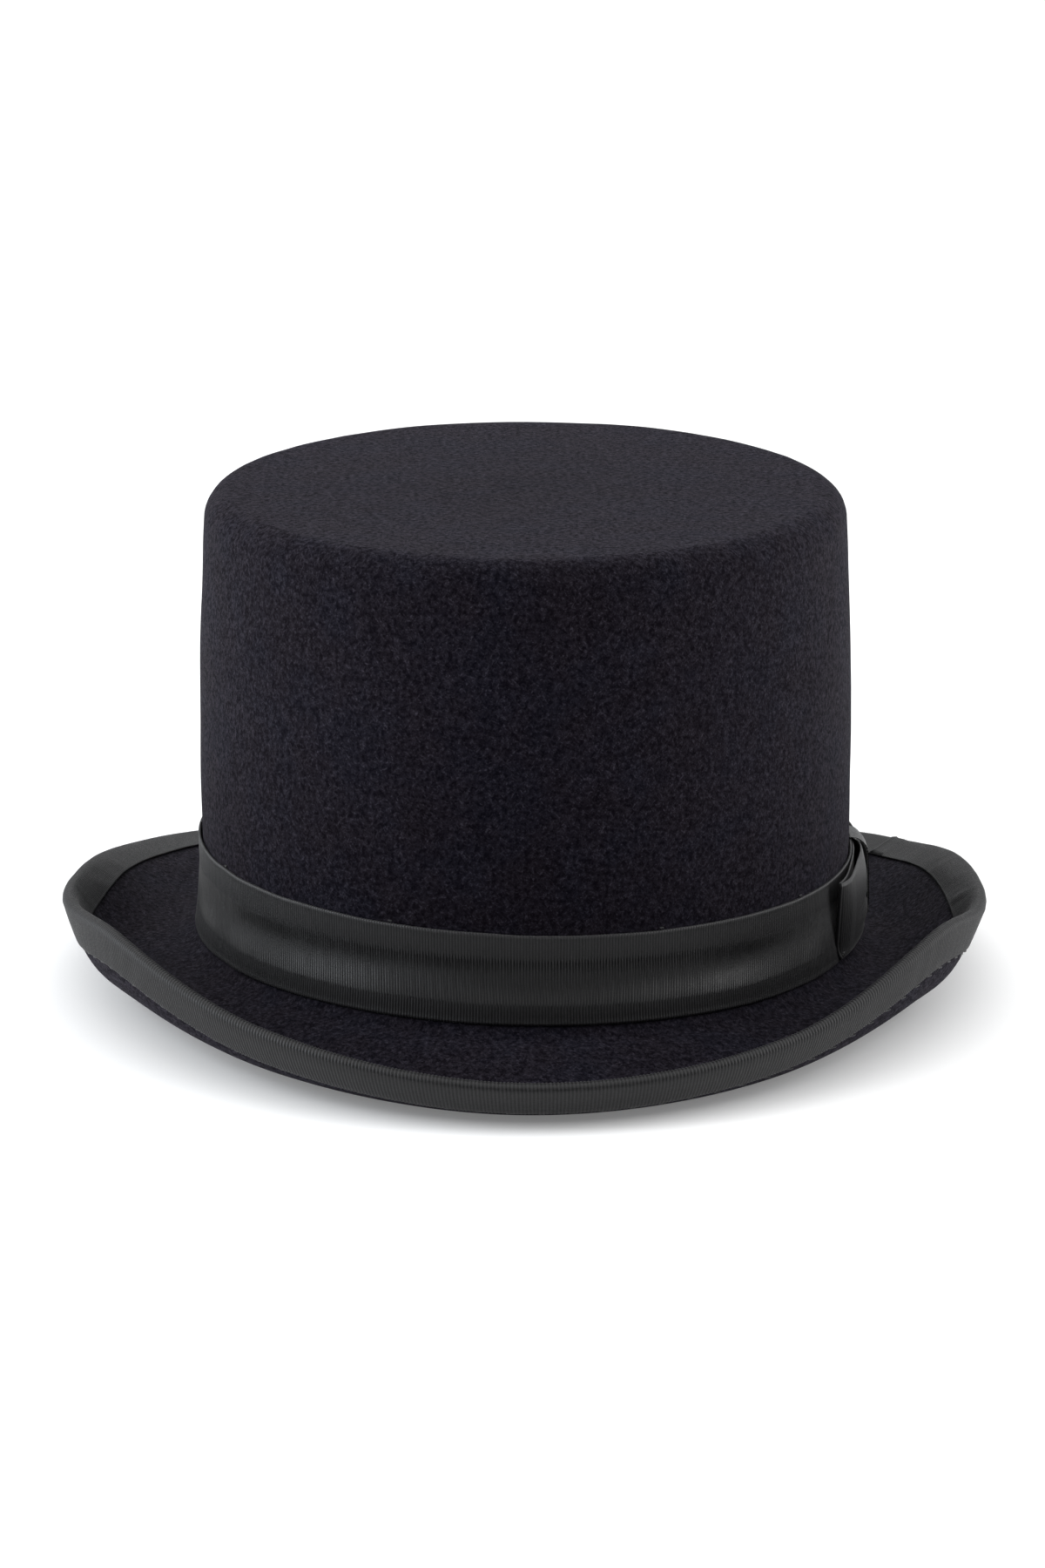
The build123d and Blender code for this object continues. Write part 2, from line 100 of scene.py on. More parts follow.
def rim_r(th):
    w = 0.5 - 0.5 * np.sin(th)
    return oval_r(RIM_A, RIM_B, RIM_N_REAR + (RIM_N_FRONT - RIM_N_REAR) * w, th)


def rim_val(th, col):
    d = (np.degrees(th) + 180.0) % 360.0 - 180.0
    n = len(RIM)
    ang = np.array([RIM[i % n][0] + 360.0 * (i // n) for i in range(-1, n + 3)])
    val = np.array([RIM[i % n][col] for i in range(-1, n + 3)])
    k = np.clip(np.searchsorted(ang, d, side="right") - 1, 1, len(ang) - 3)
    h = ang[k + 1] - ang[k]
    t = (d - ang[k]) / h
    m0 = (val[k + 1] - val[k - 1]) / (ang[k + 1] - ang[k - 1]) * h
    m1 = (val[k + 2] - val[k]) / (ang[k + 2] - ang[k]) * h
    return ((2 * t ** 3 - 3 * t ** 2 + 1) * val[k] + (t ** 3 - 2 * t ** 2 + t) * m0
            + (-2 * t ** 3 + 3 * t ** 2) * val[k + 1] + (t ** 3 - t ** 2) * m1)


def root_z(th):
    x = crown_r(th, 17.0) * np.cos(th)
    return ROOT_Z + BAND_TILT_LOW * x - 1.0 * (x / 87.7) ** 2


def band_top_s(th):
    x = crown_r(th, BAND_TOP) * np.cos(th)
    return -(BAND_TOP + BAND_TILT_HIGH * x - root_z(th))


class Spine:
    """Mid surface of the felt in the radial plane of each angle in th."""

    def __init__(self, th):
        self.th = th = np.atleast_1d(np.asarray(th, float))
        zs = root_z(th)
        R, Z = [], []
        for i in range(28):
            z = zs + 70.0 * (1 - i / 28.0)
            R.append(crown_r(th, z) - FELT_WALL / 2)
            Z.append(z)
        r0 = crown_r(th, zs) - FELT_WALL / 2
        th0 = np.radians(-6.0 * np.abs(np.sin(th)) ** 2)
        span = math.pi / 2 + th0
        for i in range(13):
            al = span * i / 12.0
            R.append(r0 + BREAK_R * (1 - np.cos(al)))
            Z.append(zs - BREAK_R * np.sin(al))
        p0r, p0z = R[-1], Z[-1]
        ph = np.radians(rim_val(th, 2))
        cap = BINDING_T + 0.12
        p3r, p3z = rim_r(th) - cap * np.cos(ph), rim_val(th, 1) - cap * np.sin(ph)
        k1 = 9.0 + 19.0 * np.sin(ph) ** 2
        p1r, p1z = p0r + 10.9 * np.cos(th0), p0z + 10.9 * np.sin(th0)
        p2r, p2z = p3r - k1 * np.cos(ph), p3z - k1 * np.sin(ph)
        for i in range(1, 41):
            t = i / 40.0
            b = ((1 - t) ** 3, 3 * t * (1 - t) ** 2, 3 * t * t * (1 - t), t ** 3)
            R.append(b[0] * p0r + b[1] * p1r + b[2] * p2r + b[3] * p3r)
            Z.append(b[0] * p0z + b[1] * p1z + b[2] * p2z + b[3] * p3z)
        self.R, self.Z = np.array(R).T, np.array(Z).T
        seg = np.hypot(np.diff(self.R, axis=1), np.diff(self.Z, axis=1))
        self.S = np.concatenate([np.zeros((len(th), 1)), np.cumsum(seg, axis=1)], axis=1)
        self.S -= self.S[:, 28:29]
        tr, tz = np.gradient(self.R, axis=1), np.gradient(self.Z, axis=1)
        l = np.hypot(tr, tz)
        self.TR, self.TZ = tr / l, tz / l

    def tip(self):
        return self.S[:, -1]

    def at(self, s, off):
        """r, z for arrays s, off of shape (len(th), k)."""
        s = np.broadcast_to(s, (len(self.th), np.shape(s)[-1]))
        off = np.broadcast_to(off, s.shape)
        r = np.empty(s.shape); z = np.empty(s.shape)
        for i in range(len(self.th)):
            S = self.S[i]
            tr, tz = np.interp(s[i], S, self.TR[i]), np.interp(s[i], S, self.TZ[i])
            l = np.hypot(tr, tz)
            over = np.maximum(s[i] - S[-1], 0)
            r[i] = np.interp(s[i], S, self.R[i]) + (over - 0) * tr / l - tz / l * off[i]
            z[i] = np.interp(s[i], S, self.Z[i]) + (over - 0) * tz / l + tr / l * off[i]
        return r, z


def on_surface(TH, S, O):
    """Points at angle TH, arc length S and offset O, arrays of one shape."""
    sp = Spine(TH.ravel())
    r, z = sp.at(S.reshape(-1, 1), O.reshape(-1, 1))
    r, z = r.reshape(TH.shape), z.reshape(TH.shape)
    return (np.stack([r * np.cos(TH), r * np.sin(TH), z], -1) + MOVE) * MM


def world(th, r, z):
    th = np.asarray(th).reshape(-1, 1)
    P = np.stack([r * np.cos(th), r * np.sin(th), z], -1)
    return (P + MOVE) * MM


# ------------------------------------------------------------------ small noise helpers (seeded, periodic in angle)
def smooth_noise(seed, th, v, nth, nv, vspan):
    """Value noise on angle (periodic, nth cells) and v (nv cells over vspan)."""
    rng = np.random.default_rng(seed)
    g = rng.random((nth, nv + 2)) * 2 - 1
    a = (np.asarray(th) / (2 * math.pi) % 1.0) * nth
    b = np.clip(np.asarray(v) / vspan, 0, 1) * nv
    a, b = np.broadcast_arrays(a, b)
    i, j = np.floor(a).astype(int), np.floor(b).astype(int)
    fa, fb = a - i, b - j
    fa, fb = fa * fa * (3 - 2 * fa), fb * fb * (3 - 2 * fb)
    i0, i1, j1 = i % nth, (i + 1) % nth, j + 1
    return ((g[i0, j] * (1 - fa) + g[i1, j] * fa) * (1 - fb) + (g[i0, j1] * (1 - fa) + g[i1, j1] * fa) * fb)


# ------------------------------------------------------------------ mesh building
def mesh_object(name, verts, faces, uvs=None, smooth=True):
    me = bpy.data.meshes.new(name)
    verts = np.asarray(verts, np.float32)
    faces = [np.asarray(f, np.int32) for f in faces]
    me.vertices.add(len(verts))
    me.vertices.foreach_set("co", verts.ravel())
    loops = np.concatenate([f.ravel() for f in faces])
    counts = np.concatenate([np.full(len(f), f.shape[1], np.int32) for f in faces])
    starts = np.concatenate([[0], np.cumsum(counts)[:-1]]).astype(np.int32)
    me.loops.add(len(loops))
    me.loops.foreach_set("vertex_index", loops.astype(np.int32))
    me.polygons.add(len(counts))
    me.polygons.foreach_set("loop_start", starts)
    me.polygons.foreach_set("loop_total", counts)
    me.update(calc_edges=True)
    if uvs is not None:
        lay = me.uv_layers.new(name="UVMap")
        lay.data.foreach_set("uv", np.asarray(uvs, np.float32)[loops].ravel())
    me.validate()
    if smooth:
        me.polygons.foreach_set("use_smooth", np.ones(len(me.polygons), bool))
    me.update()
    ob = bpy.data.objects.new(name, me)
    bpy.context.scene.collection.objects.link(ob)
    return ob


def store_rib_shade(ob, values):
    """Stores how high each point stands on its rib: 0 in a groove, 1 on a crest. The ribbon materials use it for
    painted shade in the grooves and a painted highlight on the crests.
    """
    a = ob.data.attributes.new("rib", "FLOAT", "POINT")
    a.data.foreach_set("value", np.ascontiguousarray(values, np.float32).ravel())
    return ob


def grid_faces(n, m, wrap_n, wrap_m, base=0):
    i = np.arange(n if wrap_n else n - 1)
    j = np.arange(m if wrap_m else m - 1)
    I, J = np.meshgrid(i, j, indexing="ij")
    I1, J1 = (I + 1) % n, (J + 1) % m
    return (np.stack([I * m + J, I1 * m + J, I1 * m + J1, I * m + J1], -1).reshape(-1, 4) + base)


def ring_mesh(name, P, closed_theta=True, uv=None, flip=False, ends=False):
    """P (n angles, m section points, 3): closed section swept round the hat."""
    n, m = P.shape[:2]
    f = grid_faces(n, m, closed_theta, True)
    if flip:
        f = f[:, ::-1]
    V = P.reshape(-1, 3)
    faces = [f]
    if ends and not closed_theta:
        # cap both ends by pairing the section's two sides
        h = m // 2
        for k, rev in ((0, False), (n - 1, True)):
            q = []
            for j in range(h - 1):
                a, b, c, d = k * m + j, k * m + j + 1, k * m + (m - 2 - j), k * m + (m - 1 - j)
                q.append([a, b, c, d] if rev else [d, c, b, a])
            qa = np.array(q)
            faces.append(qa[:, ::-1] if flip else qa)
    return mesh_object(name, V, faces, None if uv is None else uv.reshape(-1, 2))


# ------------------------------------------------------------------ felt: crown, tip and brim
def build_felt():
    n = 440
    th = np.linspace(-math.pi, math.pi, n, endpoint=False)
    sp = Spine(th)
    T = th[:, None]
    zr = HAT_HEIGHT - TIP_EDGE_R
    R, Z, V = [], [], []

    def add(r, z):
        R.append(np.broadcast_to(r, (n,)).copy()); Z.append(np.broadcast_to(z, (n,)).copy())
    flat = crown_r(th, zr)
    a = crown_a(zr)
    for f in (0.03, 0.12, 0.24, 0.36, 0.48, 0.6, 0.7, 0.8, 0.88, 0.94, 0.98):
        add(oval_r(a - TIP_EDGE_R, a + CROWN_LONGER - TIP_EDGE_R, 2.0, th) * f, HAT_HEIGHT)
    for k in range(0, 13):
        p = math.radians(90 - 7.5 * k)
        back = TIP_EDGE_R * (1 - math.cos(p))
        add(oval_r(a - back, a + CROWN_LONGER - back, 2.0, th), zr + TIP_EDGE_R * math.sin(p))
    zb = root_z(th) + 13.0
    for k in range(1, 44):
        z = zr + (zb - zr) * k / 43.0
        add(crown_r(th, z), z)
    # bend and upper side of the brim
    tip = sp.tip() - FELT_BRIM / 2
    ss = np.concatenate([np.linspace(-11, 0, 5), np.linspace(1.2, 16, 14)])
    s = np.broadcast_to(ss, (n, len(ss)))
    r, z = sp.at(s, FELT_BRIM / 2)
    for k in range(r.shape[1]):
        add(r[:, k], z[:, k])
    f2 = np.linspace(0, 1, 31)[1:]
    s = 16 + (tip[:, None] - 16) * f2[None, :]
    r, z = sp.at(s, FELT_BRIM / 2)
    for k in range(r.shape[1]):
        add(r[:, k], z[:, k])
    cr, cz = sp.at(tip[:, None], np.zeros((n, 1)))
    er, ez = sp.TR[:, -1], sp.TZ[:, -1]
    for ang in (60, 30, 0, -30, -60):
        c, sn = math.cos(math.radians(ang)), math.sin(math.radians(ang))
        h = FELT_BRIM / 2
        add(cr[:, 0] + er * c * h - ez * sn * h, cz[:, 0] + ez * c * h + er * sn * h)
    f3 = np.linspace(1, 0, 25)
    s = 16 + (tip[:, None] - 16) * f3[None, :]
    r, z = sp.at(s, -FELT_BRIM / 2)
    for k in range(r.shape[1]):
        add(r[:, k], z[:, k])
    ss = np.concatenate([np.linspace(14.5, 1.0, 9), [0, -4, -11]])
    s = np.broadcast_to(ss, (n, len(ss)))
    r, z = sp.at(s, -FELT_BRIM / 2)
    for k in range(r.shape[1]):
        add(r[:, k], z[:, k])
    zri = HAT_HEIGHT - TIP_EDGE_R
    zi0 = root_z(th) + 13.0
    for k in range(1, 8):
        z = zi0 + (zri - zi0) * k / 7.0
        add(crown_r(th, z) - FELT_WALL, z)
    ri = TIP_EDGE_R - FELT_WALL
    zt = HAT_HEIGHT - FELT_TIP
    for k in range(1, 6):
        p = math.radians(18 * k)
        back = ri * (1 - math.cos(p)) + FELT_WALL
        add(oval_r(a - back, a + CROWN_LONGER - back, 2.0, th), zt - ri + ri * math.sin(p))
    for f in (0.7, 0.35, 0.03):
        add(oval_r(a - TIP_EDGE_R, a + CROWN_LONGER - TIP_EDGE_R, 2.0, th) * f, zt)
    R, Z = np.array(R).T, np.array(Z).T
    m = R.shape[1]
    P = world(th, R, Z)
    # faint unevenness of blocked felt, along the surface normal (outside only)
    du = np.roll(P, -1, 0) - np.roll(P, 1, 0)
    dv = np.gradient(P, axis=1)
    N = np.cross(dv, du)
    N /= np.maximum(np.linalg.norm(N, axis=2, keepdims=True), 1e-12)
    J = np.arange(m)[None, :] * np.ones((n, 1))
    bump = (smooth_noise(3, T, J, 26, 22, m) * 0.16 + smooth_noise(4, T, J, 90, 60, m) * 0.05)
    w = np.ones(m)
    w[:9] *= 0.35
    w[24 + 43 + 5 + 14 + 24:] = 0.0         # brim edge, underside and inside stay true
    w[:4] = 0.0
    bump = bump * w[None, :] * MM
    P = P + N * bump[..., None]
    V = P.reshape(-1, 3)
    faces = [grid_faces(n, m, True, False)]
    c0, c1 = len(V), len(V) + 1
    top = (np.array([[0, 0, HAT_HEIGHT]]) + MOVE) * MM
    low = (np.array([[0, 0, HAT_HEIGHT - FELT_TIP]]) + MOVE) * MM
    V = np.concatenate([V, top, low])
    i = np.arange(n)
    i1 = (i + 1) % n
    faces.append(np.stack([np.full(n, c0), i1 * m, i * m], -1))
    faces.append(np.stack([np.full(n, c1), i * m + m - 1, i1 * m + m - 1], -1))
    faces = [f[:, ::-1] for f in faces]
    uv = np.stack([np.broadcast_to(T * 0.15, R.shape), np.broadcast_to(np.arange(m) * 0.002, R.shape)], -1).reshape(-1, 2)
    uv = np.concatenate([uv, [[0, 0], [0, 1]]])
    return mesh_object("felt_hood", V, faces, uv)


def closed_ring(sp, rows, name, closed=True, uvscale=1.0, flip=False, ends=False):
    """rows: list of (s array (n,), off array (n,)) round the section."""
    n = len(sp.th)
    s = np.stack([np.broadcast_to(a, (n,)) for a, b in rows], 1)
    o = np.stack([np.broadcast_to(b, (n,)) for a, b in rows], 1)
    r, z = sp.at(s, o)
    P = world(sp.th, r, z)
    uv = np.stack([np.broadcast_to(sp.th[:, None] * 0.09, s.shape), s * MM], -1)
    return ring_mesh(name, P, closed, uv, flip, ends)


# ------------------------------------------------------------------ ribbed grosgrain
def rib_profile(phase):
    """Rounded cords with narrow grooves, 0 in the groove and 1 on the crest."""
    c = 0.5 + 0.5 * np.cos(phase)
    return 1 - (1 - c) ** 1.6


def build_band():
    ribs, k = 760, 4
    n = ribs * k
    th = np.linspace(-math.pi, math.pi, n, endpoint=False)
    sp = Spine(th)
    # even rib pitch along the ribbon, whose arc length varies with angle on an oval
    rr = crown_r(th, 25.0)
    arc = np.cumsum(rr)
    ph = 2 * math.pi * ribs * arc / arc[-1]
    rib = rib_profile(ph)
    top = band_top_s(th)
    low = np.full(n, BAND_LOW_S)
    top = top - 0.16 * rib + smooth_noise(11, th, 0 * th, 60, 1, 1) * 0.12
    low = low + 0.16 * rib + smooth_noise(12, th, 0 * th, 60, 1, 1) * 0.12
    amp = 0.20
    rows, rib_shade_rows = [], []
    F0 = 0.30

    def pt(s_at, off):
        r, z = sp.at(s_at[:, None], np.full((n, 1), off))
        return r[:, 0], z[:, 0]

    ra, za = pt(top + (low - top) * F0, O_BAND)
    rb, zb = pt(low, O_BAND)

    def bridge(f, s_at):
        if f <= F0:
            return 0.0
        t = (f - F0) / (1 - F0)
        r0, z0 = pt(s_at, O_BAND)
        r1, z1 = pt(s_at, O_BAND + 1.0)
        d = (ra + (rb - ra) * t - r0) * (r1 - r0) + (za + (zb - za) * t - z0) * (z1 - z0)
        return np.maximum(d, 0.0) * 0.8

    fr = np.concatenate([[0.0, 0.012, 0.035], np.linspace(0.08, 0.92, 13), [0.965, 0.988, 1.0]])
    for f in fr:
        s = top + (low - top) * f
        edge = min(1.0, min(f, 1 - f) / 0.035 + 0.35)
        lift = 0.06 if 0.005 < f < 0.03 or 0.97 < f < 0.995 else 0.0
        wav = smooth_noise(13, th, np.full(n, f), 24, 3, 1) * 0.05
        rows.append((s, bridge(f, s) + O_BAND + RIBBON - amp * (1 - rib) * edge + lift + wav * min(1, 4 * f * (1 - f)) - (0.12 if f in (0.0, 1.0) else 0.0)))
        # values for painted shade in the grooves and painted highlight on the crests, shallower near the selvedges
        rib_shade_rows.append(rib * 1.0 if 0.03 < f < 0.97 else 0.55 + 0.75 * rib)
    rows.append((low, np.full(n, O_BAND + 0.05)))
    rows.append((top, np.full(n, O_BAND + 0.05)))
    # the two rows against the felt get 0, the darkest painted shade
    rib_shade_rows += [0 * rib, 0 * rib]
    return store_rib_shade(closed_ring(sp, rows, "band_grosgrain", flip=False), np.stack(rib_shade_rows, 1))


def fold_points(sp, n, kind, v, off, s0, s_end, er, ez, cr, cz, ds=0.0):
    if kind == "t":
        c, sn = math.cos(math.radians(v)), math.sin(math.radians(v))
        return cr + (er * c - ez * sn) * off, cz + (ez * c + er * sn) * off
    s = s0 + (s_end - s0) * v + ds
    r, z = sp.at(s[:, None], ((1 if kind == "u" else -1) * off)[:, None])
    return r[:, 0], z[:, 0]


def build_binding():
    """Ribbon folded over the rim: a U of two thin faces, with its ribs crossing the edge."""
    ribs, k = 915, 4
    n = ribs * k
    th = np.linspace(-math.pi, math.pi, n, endpoint=False)
    sp = Spine(th)
    arc = np.cumsum(np.hypot(rim_r(th), np.gradient(rim_r(th), th)))
    s_end = sp.tip() - FELT_BRIM / 2
    s0 = sp.tip() - BINDING_W
    o_in = FELT_BRIM / 2 + 0.12
    o_out = o_in + BINDING_T
    amp = 0.20
    # the ribs lean where the ribbon was drawn round the edge
    lean = 0.7 + 0.5 * smooth_noise(21, th, 0 * th, 14, 1, 1)
    er, ez = sp.TR[:, -1], sp.TZ[:, -1]
    cr, cz = sp.at(s_end[:, None], np.zeros((n, 1)))
    cr, cz = cr[:, 0], cz[:, 0]
    fine = smooth_noise(22, th, 0 * th, 70, 1, 1) * 0.10 + smooth_noise(23, th, 0 * th, 210, 1, 1) * 0.06
    # drawn-in puckers along the inner edge where the rim turns tightest, at the two sides
    tight = np.exp(-((np.abs(np.abs(np.degrees(th)) - 90) - 84) / 26.0) ** 2)
    pucker = np.clip(smooth_noise(24, th, 0 * th, 110, 1, 1), -0.2, 1) * tight * 0.45
    prof = [("u", f) for f in (0.0, 0.03, 0.10, 0.24, 0.42, 0.62, 0.82)]
    prof += [("t", a) for a in (78, 48, 16, -16, -48, -78)]
    prof += [("d", f) for f in (0.80, 0.52, 0.26, 0.05, 0.0)]
    m = len(prof)
    R, Z, rib_shade_cols = [], [], []
    for j, (kind, v) in enumerate(prof):
        pos = j / (m - 1.0)
        rib = rib_profile(2 * math.pi * ribs * arc / arc[-1] + lean * (0.5 - pos) * 2 * math.pi)
        e = 0.5 if kind != "t" and v < 0.04 else 1.0
        extra = fine * (1.0 if kind == "u" else 0.45)
        if kind == "u":
            extra = extra + pucker * math.sin(math.pi * min(1.0, v * 1.1 + 0.05))
        off = o_out - amp * (1 - rib) * e + extra - (0.16 if kind != "t" and v == 0.0 else 0.0)
        r, z = fold_points(sp, n, kind, v, off, s0, s_end, er, ez, cr, cz, -0.16 * rib if v == 0.0 else 0.0 * rib)
        # rib height for painted shade in the grooves and painted highlight on the crests, eased at the selvedges
        R.append(r); Z.append(z); rib_shade_cols.append(rib if e == 1.0 else 0.5 + 0.6 * rib)
    for kind, v in (("d", 0.02), ("d", 0.6), ("t", -70), ("t", 0), ("t", 70), ("u", 0.6), ("u", 0.02)):
        r, z = fold_points(sp, n, kind, v, np.full(n, o_in + 0.03), s0, s_end, er, ez, cr, cz, 0.0 * arc)
        # the inner faces against the felt get 0, the darkest painted shade
        R.append(r); Z.append(z); rib_shade_cols.append(0 * arc)
    R, Z = np.array(R).T, np.array(Z).T
    return store_rib_shade(ring_mesh("binding_grosgrain", world(th, R, Z), True, None), np.array(rib_shade_cols).T)


def build_lap():
    """The overlapped end of the binding at the back right, pressed nearly flat."""
    th = np.radians(np.linspace(33.2, 36.6, 44))
    n = len(th)
    sp = Spine(th)
    s_end = sp.tip() - FELT_BRIM / 2
    s0 = sp.tip() - BINDING_W + 0.1
    base = FELT_BRIM / 2 + 0.12 + BINDING_T
    rib = rib_profile(np.arange(n) * 2 * math.pi / 4)
    u = np.linspace(0, 1, n)
    lift = 0.16 * np.clip(u / 0.25, 0.1, 1) + 0.30 * np.exp(-((u - 0.86) / 0.10) ** 2)
    er, ez = sp.TR[:, -1], sp.TZ[:, -1]
    cr, cz = sp.at(s_end[:, None], np.zeros((n, 1)))
    cr, cz = cr[:, 0], cz[:, 0]
    out_r, out_z, in_r, in_z = [], [], [], []
    for kind, v in [("u", 0.0), ("u", .2), ("u", .5), ("u", .8)] + [("t", a) for a in (75, 45, 15, -15, -45, -75)] + [("d", .8), ("d", .5), ("d", .2), ("d", 0.0)]:
        for tr_, tz_, off in ((out_r, out_z, base + lift - 0.14 * (1 - rib)), (in_r, in_z, np.full(n, base - 0.12))):
            r, z = fold_points(sp, n, kind, v, off, s0, s_end, er, ez, cr, cz, 0.0 * u)
            tr_.append(r); tz_.append(z)
    R = np.array(out_r + in_r[::-1]).T
    Z = np.array(out_z + in_z[::-1]).T
    # every row, the inner face too, carries the rib height for painted shade in the grooves and painted highlight on
    # the crests
    return store_rib_shade(ring_mesh("binding_join", world(th, R, Z), False, None, ends=True), np.repeat(rib[:, None], R.shape[1], 1))


# ------------------------------------------------------------------ flat bow
def y_to_th(y, z=22.0):
    lo, hi = -math.pi / 2, math.pi / 2
    for _ in range(60):
        m = (lo + hi) / 2
        if crown_r(m, z) * math.sin(m) < y:
            lo = m
        else:
            hi = m
    return (lo + hi) / 2


def ribbon_sheet(name, th, S, O, thick, rib_dir, pitch_cells, amp=0.15, closed=True):
    """Ribbon with real ribs: th (n,), S and O (n, m) its outer face; thick its thickness.
    rib_dir 0: ribs run across (cells counted along angle); 1: ribs counted along s."""
    sp = Spine(th)
    n, m = S.shape
    if rib_dir == 0:
        ph = np.arange(n)[:, None] * 2 * math.pi * pitch_cells / n * np.ones((1, m))
    else:
        ph = np.arange(m)[None, :] * 2 * math.pi * pitch_cells / m * np.ones((n, 1))
    rib = rib_profile(ph)
    off = O - amp * (1 - rib)
    r0, z0 = sp.at(S, off)
    r1, z1 = sp.at(S[:, ::-1], (O - thick)[:, ::-1])
    R, Z = np.concatenate([r0, r1], 1), np.concatenate([z0, z1], 1)
    return ring_mesh(name, world(th, R, Z), False, None, ends=True)


def angle_at(y):
    g = np.linspace(-1.2, 1.2, 500)
    return np.interp(y, crown_r(g, 22.0) * np.sin(g), g)


def sheet_between(name, outer, inner, rib):
    """Closed thin ribbon between an outer and an inner grid of points."""
    P = np.concatenate([outer, inner[:, ::-1]], 1)
    # the outer face carries the rib height for painted shade and highlight; the inner face gets 0, the darkest painted
    # shade
    q = np.concatenate([rib, np.zeros_like(rib)], 1)
    return store_rib_shade(ring_mesh(name, P, False, None, ends=True), q)


def build_loop(name, y_top, y_low, y_end, seed, lift_top):
    """One puffed loop of ribbon. The outer ply rises from the fold, swells and is drawn in under the strip."""
    ribs = int(abs(y_end - y_top) / 0.82)
    n, m = ribs * 4, 19
    u, v = np.linspace(0, 1, n), np.linspace(0, 1, m)
    U, V = np.meshgrid(u, v, indexing="ij")
    side = 1.0 if y_end > y_top else -1.0
    Yf = y_top + (y_low - y_top) * V
    TH = angle_at(Yf + (y_end - Yf) * U)
    top = band_top_s(TH) + 0.05
    # the edges are drawn together a little under the strip
    pinch = np.clip((U - 0.70) / 0.3, 0, 1) ** 1.5
    S = top + 0.9 * pinch + (BAND_LOW_S - 0.1 - 1.6 * pinch - top) * V
    rib = np.broadcast_to(rib_profile(np.arange(n) * 2 * math.pi / 4.0)[:, None], U.shape)
    t = 0.42
    lift = lift_top * (1 - V) ** 1.2 * np.exp(-((U / 0.30) ** 2))
    under = O_BOW + 0.44 + lift
    rise = np.clip(U / 0.12, 0, 1) ** 0.6
    fall = np.clip((1.0 - U) / 0.22, 0, 1)
    fall = fall * fall * (3 - 2 * fall)
    across = np.clip(0.10 + 0.95 * np.sin(math.pi * np.clip(V * 0.82 + 0.05, 0, 1)) ** 0.8, 0, 1)
    near = np.clip((U - 0.25) / 0.4, 0, 1)
    swell = (0.55 + 0.45 * near) * rise * fall
    crease = (-0.9 * np.exp(-(((V - (0.50 + 0.14 * (1 - U))) / 0.055) ** 2)) + 0.35 * np.exp(-(((V - 0.64) / 0.09) ** 2))) * near * fall
    crease += -0.45 * np.exp(-(((V - (0.20 + 0.30 * U)) / 0.06) ** 2)) * np.clip((U - 0.55) / 0.3, 0, 1) * fall
    wob = smooth_noise(seed, U * 3.0, V, 9, 5, 1) * 0.18
    outer = under + 0.62 + (3.3 * across + 0.35) * swell + (crease + wob) * swell
    edge = np.clip(np.minimum(V, 1 - V) / 0.04 + 0.3, 0, 1)
    Po = on_surface(TH, S, outer - 0.15 * (1 - rib) * edge)
    Pi = on_surface(TH, S, outer - t)
    o1 = sheet_between(name, Po, Pi, rib)
    o2 = sheet_between(name + "_under", on_surface(TH, S, under - 0.10 * (1 - rib)), on_surface(TH, S, under - 0.40), rib)
    # the fold: a half round that carries the outer ply back under itself
    k = 12
    ang = np.linspace(math.pi / 2, -math.pi / 2, k)
    o_hi, o_lo = outer[0], under[0] - 0.40
    mid, half = (o_hi + o_lo) / 2, (o_hi - o_lo) / 2
    lay = []
    for inset in (0.0, 0.30):
        rows = []
        for a in ang:
            h = np.maximum(half - inset, 0.04)
            tt = TH[0] - side * h * math.cos(a) / 92.0 * 0.9
            rows.append(on_surface(tt, S[0], mid + h * math.sin(a)))
        lay.append(np.array(rows))
    # values for the fold's painted shade and highlight, alternating 1 and 0.5 round the half round
    rf = np.broadcast_to((0.75 + 0.25 * np.cos(np.arange(k) * math.pi))[:, None], (k, m))
    o3 = sheet_between(name + "_fold", lay[0], lay[1], rf)
    return [o1, o2, o3]


